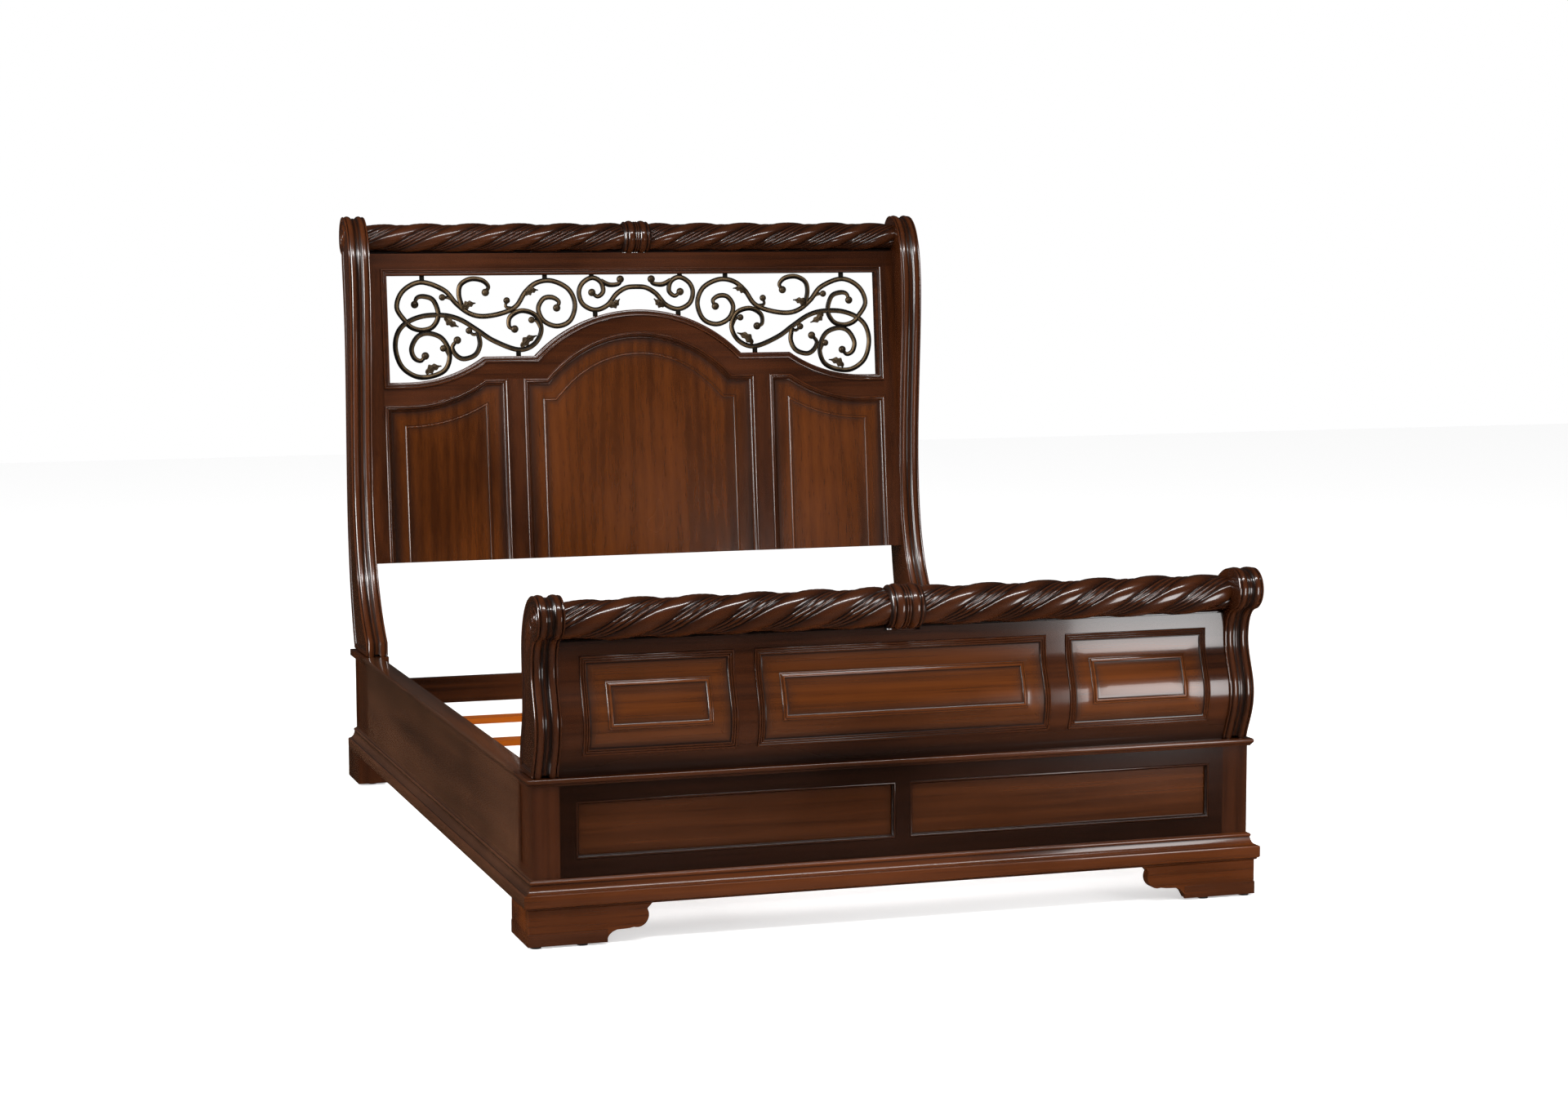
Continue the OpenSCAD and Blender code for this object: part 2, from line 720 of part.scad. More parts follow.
module side_rail(side) {
    mahogany() on(side) difference() {
        block([rail_x, rail_y0, base_z], [half_w, rail_y1, ledge_z]);
        for (y = [rail_y0 + 35, rail_y1 - 35], z = bolt_z)
            translate([rail_x - cut, y, z]) rotate([0, 90, 0]) cylinder(h = 18 + cut, r = bolt_r + bolt_gap);
    }
}

module rail_cap(side) {
    q = ledge_t / 3;
    out = half_w + ledge_out;
    mahogany() on(side) {
        block([out - cap_w, ledge_back, ledge_z + q], [out, rail_y1, ledge_top]);
        block([out - cap_w + q, ledge_back, ledge_z], [out - q, rail_y1, ledge_z + q]);
    }
}

cleat_x = rail_x - cleat_w;
cleat_top = slat_z - slat_t;

module slat_cleats() {
    pine() for (s = [-1, 1]) on(s) difference() {
        block([cleat_x, rail_y0 + 5, cleat_top - cleat_h], [rail_x, rail_y1 - 5, cleat_top]);
        for (i = [0:slat_n - 1]) translate([cleat_x + cleat_w / 2, slat_y(i), cleat_top - 18])
            cylinder(h = 18 + cut, r = 2);
    }
}

// Middle of a slat: even gaps; the stretcher carries the head end of the mattress
function slat_y(i) = rail_y0 + 145 + i * (rail_y1 - rail_y0 - 145 - 661) / (slat_n - 1);

slat_x = rail_x - slat_gap;

module slats() {
    pine() difference() {
        for (i = [0:slat_n - 1]) block([-slat_x, slat_y(i) - slat_w / 2, cleat_top],
            [slat_x, slat_y(i) + slat_w / 2, slat_z]);
        for (s = [-1, 1], i = [0:slat_n - 1])
            translate([s * (cleat_x + cleat_w / 2), slat_y(i), cleat_top - cut]) {
                cylinder(h = slat_t + 2 * cut, r = 2);
                translate([0, 0, slat_t + cut - 3]) cylinder(h = 3 + cut, r = 4.5);
            }
    }
}

module slat_screws() {
    steel() for (s = [-1, 1], i = [0:slat_n - 1])
        translate([s * (cleat_x + cleat_w / 2), slat_y(i), slat_z - 3]) {
            cylinder(h = 3, r = 4.5);
            translate([0, 0, 3 - slat_t - 18]) cylinder(h = slat_t + 18 - 3, r = 2);
        }
}

// Legs stand under the second, a middle and the last slat
leg_slats = [1, floor(slat_n / 2), slat_n - 1];
pad_t = 8;
stem_l = 70;
leg_z = pad_t + leveller_travel + 3;
thread_gap = 0.05;

module centre_legs() {
    pine() for (i = leg_slats) translate([0, slat_y(i), 0]) difference() {
        block([-leg_w / 2, -leg_w / 2, leg_z], [leg_w / 2, leg_w / 2, cleat_top]);
        translate([0, 0, leg_z - cut]) cylinder(h = stem_l + leveller_travel, r = stem_r + thread_gap);
    }
}

module leveller(i) {
    steel() translate([0, slat_y(leg_slats[i]), 0]) {
        cylinder(h = pad_t, r = pad_r);
        cylinder(h = pad_t + stem_l - 10, r = stem_r);
    }
}

module rail_brackets() {
    reach = 60;
    wide = rail_x - post_x - 2;
    z0 = bolt_z[0] - 25;
    z1 = bolt_z[1] + 25;
    steel() for (s = [-1, 1], end = [0, 1]) on(s) {
        y = end == 0 ? rail_y0 : rail_y1;
        d = end == 0 ? 1 : -1;
        difference() {
            union() {
                block([rail_x - bracket_t, min(y, y + d * reach), z0],
                    [rail_x, max(y, y + d * reach), z1]);
                block([rail_x - wide, min(y, y + d * bracket_t), z0],
                    [rail_x, max(y, y + d * bracket_t), z1]);
            }
            for (z = bolt_z) {
                translate([rail_x - bracket_t - cut, y + d * 35, z]) rotate([0, 90, 0])
                    cylinder(h = bracket_t + 2 * cut, r = bolt_r + bolt_gap);
                translate([post_x + 18, y - 10, z]) rotate([-90, 0, 0])
                    cylinder(h = 20, r = bolt_r + bolt_gap);
            }
        }
    }
}

module bolt(l) {
    translate([0, 0, -l]) cylinder(h = l, r = bolt_r);
    cylinder(h = 4, r = 7);
}

module bracket_bolts() {
    steel() for (s = [-1, 1], end = [0, 1], z = bolt_z) on(s) {
        y = end == 0 ? rail_y0 : rail_y1;
        d = end == 0 ? 1 : -1;
        translate([rail_x - bracket_t, y + d * 35, z]) rotate([0, -90, 0]) bolt(18 + bracket_t);
        translate([post_x + 18, y + d * bracket_t, z]) rotate([d > 0 ? -90 : 90, 0, 0])
            bolt(28 + bracket_t);
    }
}

head_post(-1);  // head_post_left
head_post(1);  // head_post_right
head_corner_post(-1);  // head_corner_post_left
head_corner_post(1);  // head_corner_post_right
rear_foot(-1);  // rear_foot_left
rear_foot(1);  // rear_foot_right
head_top_board();
head_stiles();
head_arched_rail();
head_muntins();
head_side_panel(-1);  // head_panel_left
panel_plate(centre_line, inset(centre_line, field_edge));  // head_panel_centre
head_side_panel(1);  // head_panel_right
panel_moulding(flipped(side_line));  // head_panel_moulding_left
panel_moulding(centre_line);  // head_panel_moulding_centre
panel_moulding(side_line);  // head_panel_moulding_right
opening_moulding();
rope_rail(-1, rope_y, rope_z, head_rope_r);  // head_rope_left
rope_rail(1, rope_y, rope_z, head_rope_r);  // head_rope_right
collar(rope_y, rope_z, head_rope_r);  // head_collar
scrollwork_left();
scrollwork_centre();
scrollwork_right();
head_stretcher();
foot_post(-1);  // foot_post_left
foot_post(1);  // foot_post_right
foot_corner_post(-1);  // foot_corner_post_left
foot_corner_post(1);  // foot_corner_post_right
bracket_foot(-1);  // bracket_foot_left
bracket_foot(1);  // bracket_foot_right
foot_curved_panel();
foot_panel_moulding(flipped(foot_side_line));  // foot_panel_moulding_left
foot_panel_moulding(foot_centre_line);  // foot_panel_moulding_centre
foot_panel_moulding(foot_side_line);  // foot_panel_moulding_right
foot_raised_panels();
rope_rail(-1, foot_rope_y, foot_rope_z, foot_rope_r);  // foot_rope_left
rope_rail(1, foot_rope_y, foot_rope_z, foot_rope_r);  // foot_rope_right
collar(foot_rope_y, foot_rope_z, foot_rope_r);  // foot_collar
foot_ledge();
plinth_frame();
plinth_panels();
plinth_beads();
base_moulding_front();
base_moulding_side(-1);  // base_moulding_left
base_moulding_side(1);  // base_moulding_right
side_rail(-1);  // side_rail_left
side_rail(1);  // side_rail_right
rail_cap(-1);  // rail_cap_left
rail_cap(1);  // rail_cap_right
slat_cleats();
slats();
slat_screws();
centre_legs();
leveller(0);  // leveller_foot_end
leveller(1);  // leveller_middle
leveller(2);  // leveller_head_end
rail_brackets();
bracket_bolts();
glides();
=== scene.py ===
"""Sleigh bed: mahogany-stained frame with rope-turned rails, iron scrollwork and figured panels."""
import math

import bmesh
import bpy
from mathutils import Matrix, Vector
from mathutils.geometry import interpolate_bezier


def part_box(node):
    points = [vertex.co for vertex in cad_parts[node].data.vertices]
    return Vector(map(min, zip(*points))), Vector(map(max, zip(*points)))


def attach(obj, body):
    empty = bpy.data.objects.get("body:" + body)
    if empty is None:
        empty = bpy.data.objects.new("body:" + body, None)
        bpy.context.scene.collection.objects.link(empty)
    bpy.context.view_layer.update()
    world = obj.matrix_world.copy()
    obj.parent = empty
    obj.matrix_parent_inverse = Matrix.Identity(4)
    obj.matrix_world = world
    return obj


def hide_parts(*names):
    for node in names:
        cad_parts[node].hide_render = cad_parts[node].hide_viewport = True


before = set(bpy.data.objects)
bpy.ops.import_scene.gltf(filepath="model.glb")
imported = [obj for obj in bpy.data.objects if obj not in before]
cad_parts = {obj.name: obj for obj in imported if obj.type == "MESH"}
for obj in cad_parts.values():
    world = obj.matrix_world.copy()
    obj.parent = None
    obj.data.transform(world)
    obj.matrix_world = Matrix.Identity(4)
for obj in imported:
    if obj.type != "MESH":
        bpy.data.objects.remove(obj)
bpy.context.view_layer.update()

# ---- Camera --------------------------------------------------------------------------
# A long lens at standing height, in front of the left foot corner, looking a little down
# and to the right along the bed.
yaw, pitch, roll = math.radians(17.754), math.radians(6.031), math.radians(-0.191)
ahead = Vector((math.sin(yaw) * math.cos(pitch), math.cos(yaw) * math.cos(pitch), -math.sin(pitch)))
across = Vector((math.cos(yaw), -math.sin(yaw), 0.0))
above = across.cross(ahead)
across_tilted = math.cos(roll) * across + math.sin(roll) * above
above_tilted = math.cos(roll) * above - math.sin(roll) * across
eye = Vector((-2.3467, -7.5999, 1.5612))
lens = bpy.data.cameras.new("bed camera")
lens.lens, lens.sensor_width = 70.46, 36.0
lens.clip_end = 60
camera = bpy.data.objects.new("bed camera", lens)
bpy.context.scene.collection.objects.link(camera)
turned_camera = Matrix((across_tilted, above_tilted, -ahead)).transposed().to_4x4()
camera.matrix_world = Matrix.Translation(eye) @ turned_camera
bpy.context.scene.camera = camera

# ---- Floor and studio light ----------------------------------------------------------
# A pale seamless floor under a pale sky. Tall soft boxes at the sides, a broad one and a strip
# overhead and a small low one draw the long highlights on the turned and moulded edges.
def set_sockets(tree, node, sockets):
    """Gives each socket, found by name or place, a number, a colour or a link."""
    for socket, value in sockets.items():
        if isinstance(value, bpy.types.NodeSocket):
            tree.links.new(value, node.inputs[socket])
        else:
            node.inputs[socket].default_value = value


def add_node(tree, kind, sockets, **settings):
    node = tree.nodes.new("ShaderNode" + kind)
    for setting, value in settings.items():
        setattr(node, setting, value)
    set_sockets(tree, node, sockets)
    return node


def new_finish(name):
    """A new material, its node tree and its surface."""
    finish = bpy.data.materials.new(name)
    finish.use_nodes = True
    return finish, finish.node_tree, finish.node_tree.nodes["Principled BSDF"]


def new_object(name, mesh):
    thing = bpy.data.objects.new(name, mesh)
    bpy.context.scene.collection.objects.link(thing)
    return thing


def pale_floor():
    """Matt paint that reflects as a dull warm dark in polished wood."""
    finish, tree, surface = new_finish("pale floor")
    speckle = add_node(tree, "TexNoise", {"Scale": 1.4})
    tone = add_node(tree, "Mix", {0: speckle.outputs["Fac"], 6: (0.86, 0.86, 0.86, 1),
        7: (0.90, 0.90, 0.90, 1)}, data_type="RGBA")
    set_sockets(tree, surface, {"Base Color": tone.outputs[2], "Roughness": 0.9,
        "Emission Color": (1, 1, 1, 1), "Emission Strength": 0.45})
    dull = add_node(tree, "Emission", {"Color": (1.0, 0.8, 0.6, 1), "Strength": 0.018})
    ray = add_node(tree, "LightPath", {})
    either = add_node(tree, "MixShader", {0: ray.outputs["Is Glossy Ray"], 1: surface.outputs[0],
        2: dull.outputs[0]})
    set_sockets(tree, tree.nodes["Material Output"], {"Surface": either.outputs[0]})
    finish.cycles.emission_sampling = "NONE"
    return finish


def studio_floor():
    half_wide = 14
    bm = bmesh.new()
    bmesh.ops.create_grid(bm, x_segments=1, y_segments=1, size=half_wide)
    mesh = bpy.data.meshes.new("studio_floor")
    bm.to_mesh(mesh)
    bm.free()
    mesh.materials.append(pale_floor())
    new_object("studio_floor", mesh)


def soft_box(name, place, aim, wide, high, watts, mirrored=True):
    """A square-edged lamp at a place, turned to its aim; mirrored ones show in polished wood."""
    light = bpy.data.lights.new(name, "AREA")
    light.shape, light.size, light.size_y, light.energy = "RECTANGLE", wide, high, watts
    lamp = new_object(name, light)
    lamp.location = place
    lamp.rotation_euler = (Vector(aim) - Vector(place)).to_track_quat("-Z", "Y").to_euler()
    lamp.visible_glossy = mirrored
    lamp.visible_camera = False


def studio_sky():
    """White to the camera, a soft fill on matt surfaces and nearly dark in reflections."""
    sky = bpy.data.worlds.new("studio sky")
    sky.use_nodes = True
    sky.cycles.sampling_method = "NONE"
    tree = sky.node_tree
    fill = tree.nodes["Background"]
    set_sockets(tree, fill, {"Color": (1, 1, 1, 1), "Strength": 0.60})
    seen = add_node(tree, "Background", {"Color": (1, 1, 1, 1), "Strength": 1.0})
    dim = add_node(tree, "Background", {"Strength": 0.03})
    ray = add_node(tree, "LightPath", {})
    matt_or_gloss = add_node(tree, "MixShader", {0: ray.outputs["Is Glossy Ray"],
        1: fill.outputs[0], 2: dim.outputs[0]})
    either = add_node(tree, "MixShader", {0: ray.outputs["Is Camera Ray"],
        1: matt_or_gloss.outputs[0], 2: seen.outputs[0]})
    set_sockets(tree, tree.nodes["World Output"], {"Surface": either.outputs[0]})
    return sky


studio_floor()
soft_box("left box", (-5.4, -0.9, 2.4), (-0.8, 0, 0.5), 1.4, 3.2, 330)
soft_box("right box", (4.6, -4.4, 3.0), (0, -0.4, 0.7), 1.4, 2.4, 80, False)
soft_box("overhead box", (-0.6, -2.2, 4.6), (0, 0.1, 0.4), 4.2, 2.6, 165, False)
soft_box("overhead strip", (0.1, -3.4, 4.4), (0, 0, 0.7), 4.6, 0.35, 100)
soft_box("low box", (1.05, -2.1, 0.57), (0.6, -1.15, 0.55), 0.42, 0.54, 4.6)
bpy.context.scene.world = studio_sky()
bpy.context.scene.view_settings.view_transform = "Standard"

# ---- Head posts ----------------------------------------------------------------------
# Laminated hardwood sawn to a long S that leans back and rolls over, moulded along both
# edges with two full rolls, stained dark mahogany, glazed in the hollows and lacquered; the
# hollows also carry painted shade and the rolls a painted highlight.
def wood_group():
    """Grain that runs along the vector's Z: broad figure, fine fibres and short dark pores."""
    group = bpy.data.node_groups.new("wood grain", "ShaderNodeTree")
    for socket, kind in (("Vector", "NodeSocketVector"), ("Pale", "NodeSocketColor"),
            ("Dark", "NodeSocketColor"), ("Figure", "NodeSocketFloat"), ("Glaze, rub and painted light", "NodeSocketFloat")):
        group.interface.new_socket(socket, in_out="INPUT", socket_type=kind)
    for socket, kind in (("Color", "NodeSocketColor"), ("Roughness", "NodeSocketFloat"),
            ("Height", "NodeSocketFloat")):
        group.interface.new_socket(socket, in_out="OUTPUT", socket_type=kind)
    given, result = group.nodes.new("NodeGroupInput"), group.nodes.new("NodeGroupOutput")

    def stretched(share):
        return add_node(group, "VectorMath", {0: given.outputs["Vector"], 1: (1, 1, share)},
            operation="MULTIPLY").outputs[0]

    def noise(stretch, scale, detail, distortion=0.0):
        return add_node(group, "TexNoise", {"Vector": stretched(stretch), "Scale": scale,
            "Detail": detail, "Distortion": distortion}).outputs["Fac"]

    def reckon(operation, a, b):
        return add_node(group, "Math", {0: a, 1: b}, operation=operation).outputs[0]

    def times(a, b):
        return reckon("MULTIPLY", a, b)

    def span(value, low, high, to_low=0.0, to_high=1.0):
        return add_node(group, "MapRange", {0: value, 1: low, 2: high, 3: to_low,
            4: to_high}).outputs[0]

    def blend(kind, share, a, b):
        return add_node(group, "Mix", {0: share, 6: a, 7: b}, data_type="RGBA",
            blend_type=kind).outputs[2]

    rings = add_node(group, "TexWave", {"Vector": stretched(0.10), "Scale": 9.0, "Distortion": 9.0,
        "Detail": 2.5, "Detail Scale": 0.7}).outputs["Fac"]
    broad = noise(0.10, 7.0, 3.0, 0.8)
    cloud = noise(0.6, 3.2, 3.0)
    fibre = noise(0.018, 190.0, 2.0)
    pore = span(noise(0.012, 280.0, 1.0), 0.58, 0.82)
    figure = times(reckon("SUBTRACT", rings, 0.5), given.outputs["Figure"])
    share = reckon("ADD", times(span(broad, 0.30, 0.70), 0.42), times(span(cloud, 0.32, 0.68), 0.48))
    share = reckon("ADD", share, times(figure, 0.22))
    share = reckon("ADD", share, times(reckon("SUBTRACT", fibre, 0.5), 0.5))
    stained = blend("MIX", span(share, 0.0, 0.85), given.outputs["Dark"], given.outputs["Pale"])
    stained = blend("MULTIPLY", times(pore, 0.45), stained, (0.25, 0.18, 0.14, 1))
    # Above zero the mask darkens towards near black: a glaze in the hollows that is also painted shade.
    # Below zero it lightens towards warm brown: a rub on the ridges that is also a painted highlight.
    glaze_and_painted_shade = reckon("MAXIMUM", given.outputs["Glaze, rub and painted light"], 0.0)
    ridge = reckon("MAXIMUM", times(given.outputs["Glaze, rub and painted light"], -1.0), 0.0)
    glazed_and_shaded = blend("MIX", times(glaze_and_painted_shade, 0.94), stained, (0.006, 0.0025, 0.0015, 1))
    rubbed_and_highlit = blend("MIX", times(ridge, 0.35), glazed_and_shaded, (0.13, 0.038, 0.012, 1))
    set_sockets(group, result, {"Color": rubbed_and_highlit,
        "Roughness": reckon("ADD", span(cloud, 0.3, 0.7, 0.17, 0.27), times(glaze_and_painted_shade, 0.12)),
        "Height": reckon("SUBTRACT", times(fibre, 0.5), times(pore, 0.4))})
    return group


wood_grain = wood_group()
QUARTER_TURN = math.radians(90)
GRAIN_TURN = {"X": (0, QUARTER_TURN, 0), "Y": (QUARTER_TURN, 0, 0), "Z": (0, 0, 0)}


def stained_wood(name, along, pale, dark, figure, gloss=0.6, depth=0.00012):
    """Stained and lacquered wood whose grain runs along the named axis of the bed."""
    finish, tree, surface = new_finish(name)
    place = add_node(tree, "TexCoord", {}).outputs["Object"]
    lie = add_node(tree, "Mapping", {"Vector": place, "Rotation": GRAIN_TURN[along]})
    # Per-vertex mask: glaze with painted shade above zero, rub with painted highlight below zero.
    glaze_rub_and_painted_light = add_node(tree, "Attribute", {}, attribute_name="glaze_rub_and_painted_light")
    grain = add_node(tree, "Group", {}, node_tree=wood_grain)
    set_sockets(tree, grain, {"Vector": lie.outputs[0], "Pale": (*pale, 1), "Dark": (*dark, 1),
        "Figure": figure, "Glaze, rub and painted light": glaze_rub_and_painted_light.outputs["Fac"]})
    bump = add_node(tree, "Bump", {"Strength": 0.3, "Distance": depth,
        "Height": grain.outputs["Height"]})
    set_sockets(tree, surface, {"Base Color": grain.outputs["Color"],
        "Roughness": grain.outputs["Roughness"], "Normal": bump.outputs[0],
        "Coat Weight": gloss, "Coat Roughness": 0.09})
    return finish


def refinish(finish, *nodes):
    """Gives pieces that keep their own mesh a new finish."""
    for node in nodes:
        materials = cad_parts[node].data.materials
        materials.clear()
        materials.append(finish)


MAHOGANY_PALE, MAHOGANY_DARK = (0.054, 0.0130, 0.0024), (0.0085, 0.0022, 0.0007)
mahogany_upright = stained_wood("mahogany, upright grain", "Z", MAHOGANY_PALE, MAHOGANY_DARK, 0.7)
mahogany_across = stained_wood("mahogany, grain across", "X", MAHOGANY_PALE, MAHOGANY_DARK, 0.7)
# A paler copy of the mahogany stain for grain along the bed: painted light, for the left-facing side rails
# that are lit more from the left.
mahogany_along_lit = stained_wood("mahogany, grain along, painted lit", "Y", (0.078, 0.030, 0.0135),
    (0.022, 0.0080, 0.0034), 0.7, depth=0.00001)


def curve_through(pieces, steps):
    """Points along cubic curves joined end to end, given as four (y, z) corners each."""
    points = []
    for a, b, c, d in pieces:
        flat = interpolate_bezier(*(Vector((*p, 0)) for p in (a, b, c, d)), steps + 1)
        points += [(p.x, p.y) for p in flat[:-1]]
    return points


def moved_in(line, d, closed=True):
    """A clockwise line moved inwards by d, with mitred corners."""
    n, moved = len(line), []
    for i, here in enumerate(line):
        before = line[i - 1] if closed or i else None
        after = line[(i + 1) % n] if closed or i < n - 1 else None
        e = (Vector(here) - Vector(before)).normalized() if before else None
        f = (Vector(after) - Vector(here)).normalized() if after else e
        e = e or f
        share = d / (1 + e.dot(f))
        moved.append((here[0] + share * (e.y + f.y), here[1] - share * (e.x + f.x)))
    return moved


def skin(bm, sections, closed=True):
    """Draws a line of vertices through sections [(points, glaze and painted light)] by extruding its
    edges; the value is glaze with painted shade above zero and rub with painted highlight below.
    """
    glaze_rub_and_painted_light = bm.verts.layers.float.get("glaze_rub_and_painted_light") or bm.verts.layers.float.new("glaze_rub_and_painted_light")
    points, tone = sections[0]
    ring = [bm.verts.new(p) for p in points]
    for v in ring:
        v[glaze_rub_and_painted_light] = tone
    pairs = list(zip(ring, ring[1:])) + ([(ring[-1], ring[0])] if closed else [])
    edges = [bm.edges.new(pair) for pair in pairs]
    for points, tone in sections[1:]:
        grown = bmesh.ops.extrude_edge_only(bm, edges=edges)["geom"]
        fresh = {v for v in grown if isinstance(v, bmesh.types.BMVert)}
        ring = [next(e.other_vert(v) for e in v.link_edges if e.other_vert(v) in fresh) for v in ring]
        for v, p in zip(ring, points):
            v.co = p
            v[glaze_rub_and_painted_light] = tone
        kept = set(ring)
        edges = [e for e in grown if isinstance(e, bmesh.types.BMEdge)
            and e.verts[0] in kept and e.verts[1] in kept]
    return ring


MERGE_WITHIN, SHORTEST_EDGE = 2e-6, 1e-6


def finished(bm, name, wood, body="bed", stands_for=(), sharp=32):
    """Closes a piece's open ends, turns its faces outwards and hands it to the frame."""
    bmesh.ops.remove_doubles(bm, verts=bm.verts, dist=MERGE_WITHIN)
    bmesh.ops.dissolve_degenerate(bm, dist=SHORTEST_EDGE, edges=bm.edges)
    bmesh.ops.holes_fill(bm, edges=[e for e in bm.edges if e.is_boundary], sides=0)
    bmesh.ops.recalc_face_normals(bm, faces=bm.faces)
    mesh = bpy.data.meshes.new(name)
    bm.to_mesh(mesh)
    bm.free()
    mesh.materials.append(wood)
    mesh.shade_smooth()
    mesh.set_sharp_from_angle(angle=math.radians(sharp))
    piece = new_object(name, mesh)
    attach(piece, body)
    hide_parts(*stands_for)


POST_WIDE = 62
# Across a post's edge, from its inner face out: (distance, set-back, glaze and painted light) in
# millimetres; the last is glaze with painted shade above zero, rub with painted highlight below
HALF_ROLLS = [(0, 5.2, .2), (0.5, 3.4, .1), (1.8, 1.9, -.3), (3.6, 1.6, -.5), (5.2, 2.8, .1),
    (6.0, 4.6, 1), (6.8, 3.9, .6), (8.6, 1.7, -.1), (11.2, .45, -.3), (14, 0, -.4), (17, .25, -.3),
    (20, 1.3, 0), (22.4, 3.4, .5), (23.6, 5.6, 1), (24.8, 6.6, 1), (26.6, 6.3, .3), (28, 6.9, .9),
    (29.4, 6.0, 0)]
POST_EDGE = HALF_ROLLS + [(POST_WIDE - x, d, g) for x, d, g in reversed(HALF_ROLLS)]
# The outer face: an arris, a raised border, a fine bead and the sunk field
POST_FACE = [(POST_WIDE, 7.5, 0), (POST_WIDE, 12.5, .1), (61.6, 13.4, .3), (60.4, 13.8, 1),
    (60.6, 14.8, .1), (60.2, 15.8, 0), (59.2, 16.2, 1), (59, 18.5, .5), (59, 26, .05)]
# The carving starts just under the sunk field
CARVING_BASE = 0.0588


def post(outline, side, inner):
    """A post from its side outline: the edge profile runs all round it, the face on one side."""
    bm = bmesh.new()
    skin(bm, [([(side * (inner + x / 1000), y, z) for y, z in moved_in(outline, d / 1000)], g)
        for x, d, g in POST_EDGE + POST_FACE])
    return bm


def scroll_line(middle, start_r, end_r, start_turn, turns, steps=54):
    """Points of a spiral in (y, z) that winds in towards its middle."""
    line = []
    for i in range(steps + 1):
        t = i / steps
        r = start_r * (end_r / start_r) ** t
        a = math.tau * (start_turn + turns * t)
        line.append((middle[0] + r * math.cos(a), middle[1] + r * math.sin(a)))
    return line


def run_at(line, i):
    """The direction of a line at one of its points."""
    return (Vector(line[min(i + 1, len(line) - 1)]) - Vector(line[max(i - 1, 0)])).normalized()


def carved_roll(bm, line, x, side, wide, high):
    """A raised half-round carved along a line on the outer face of a post, thinner at its end."""
    sections, sides, end_share = [], 6, 0.35
    for i, (y, z) in enumerate(line):
        run, t = run_at(line, i), i / (len(line) - 1)
        half = wide / 2 * (1 - (1 - end_share) * t)
        ring = []
        for k in range(sides + 1):
            turn = math.pi * k / sides
            off, up = half * math.cos(turn), high * math.sin(turn) * (1 - 0.5 * t)
            ring.append((side * (x + up), y - run.y * off, z + run.x * off))
        # Each ring is lightened slightly: rub and painted highlight on the carved roll.
        sections.append((ring, -.2))
    skin(bm, sections)


def carved_eye(bm, middle, x, side, r, high):
    """The round eye of a scroll, a flattened dome."""
    sections, steps, segments, smallest = [], 5, 20, 1e-4
    for k in range(steps + 1):
        rise = math.pi / 2 * k / steps
        ring_r, up = max(r * math.cos(rise), smallest), high * math.sin(rise)
        turns = [math.tau * j / segments for j in range(segments)]
        ring = [(side * (x + up), middle[0] + ring_r * math.cos(a), middle[1] + ring_r * math.sin(a))
            for a in turns]
        # The eye's root ring is darkened as painted shade, its dome lightened slightly as a painted
        # highlight.
        sections.append((ring, -.2 if k else 1))
    skin(bm, sections)


# Across a carved leaf: (share of the half width, share of the height)
LEAF_SECTION = ((-1, 0), (-.75, .75), (-.4, .45), (0, 1), (.4, .45), (.75, .75), (1, 0))


def carved_leaf(bm, root, tip, wide, x, side, high, bend=0.15):
    """A pointed leaf with a raised spine between two hollows."""
    a, b = Vector(root), Vector(tip)
    run = b - a
    out = Vector((-run.y, run.x))
    normal, sections, steps = out.normalized(), [], 12
    for i in range(steps + 1):
        t = i / steps
        half = wide / 2 * (math.sin(math.pi * min(t * 1.15, 1) ** 0.8) * 0.96 + 0.04) * (1 - 0.25 * t)
        middle = a + run * t + out * bend * math.sin(math.pi * t)
        crown = high * math.sin(math.pi * (0.12 + 0.8 * t))
        sections.append(([(side * (x + crown * up), middle.x + normal.x * half * off,
            middle.y + normal.y * half * off) for off, up in LEAF_SECTION], 0))
    skin(bm, sections)


ROLL_BACK = 156
head_low, head_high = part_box("head_post_right")
head_back, head_rise = head_high.y - ROLL_BACK / 1000, head_high.z - head_low.z


def head_point(dy, share):
    """A point on the head post's outline, dy millimetres back at a share of its height."""
    return head_back + dy / 1000, head_low.z + share * head_rise


def outline_of(curves, point_at, steps):
    return curve_through([[point_at(*p) for p in piece] for piece in curves], steps)


HEAD_CURVES = (((-180, .033), (-50, .118), (8, .248), (4, .458)),
    ((4, .458), (4, .556), (-18, .702), (-18, .811)), ((-18, .811), (-18, .896), (10, 1), (102, 1)),
    ((102, 1), (132, 1), (ROLL_BACK, .977), (ROLL_BACK, .949)),
    ((ROLL_BACK, .949), (ROLL_BACK, .925), (140, .914), (112, .908)),
    ((117, .9), (110, .848), (89, .775), (89, .69)), ((89, .69), (89, .572), (98, .467), (98, .345)),
    ((98, .345), (98, .223), (70, .086), (16, 0)))
head_outline = [head_point(-180, 0)] + outline_of(HEAD_CURVES, head_point, 14) + [head_point(16, 0)]
head_eye = (head_back + 0.108, head_high.z - 0.060)
for side, end in ((-1, "left"), (1, "right")):
    bm = post(head_outline, side, head_low.x)
    face = head_low.x + CARVING_BASE
    carved_roll(bm, scroll_line(head_eye, 0.034, 0.009, 0.30, 1.35), face, side, 0.0085, 0.0034)
    carved_eye(bm, head_eye, face, side, 0.0085, 0.0044)
    finished(bm, "head_post_carved_" + end, mahogany_upright, stands_for=["head_post_" + end])

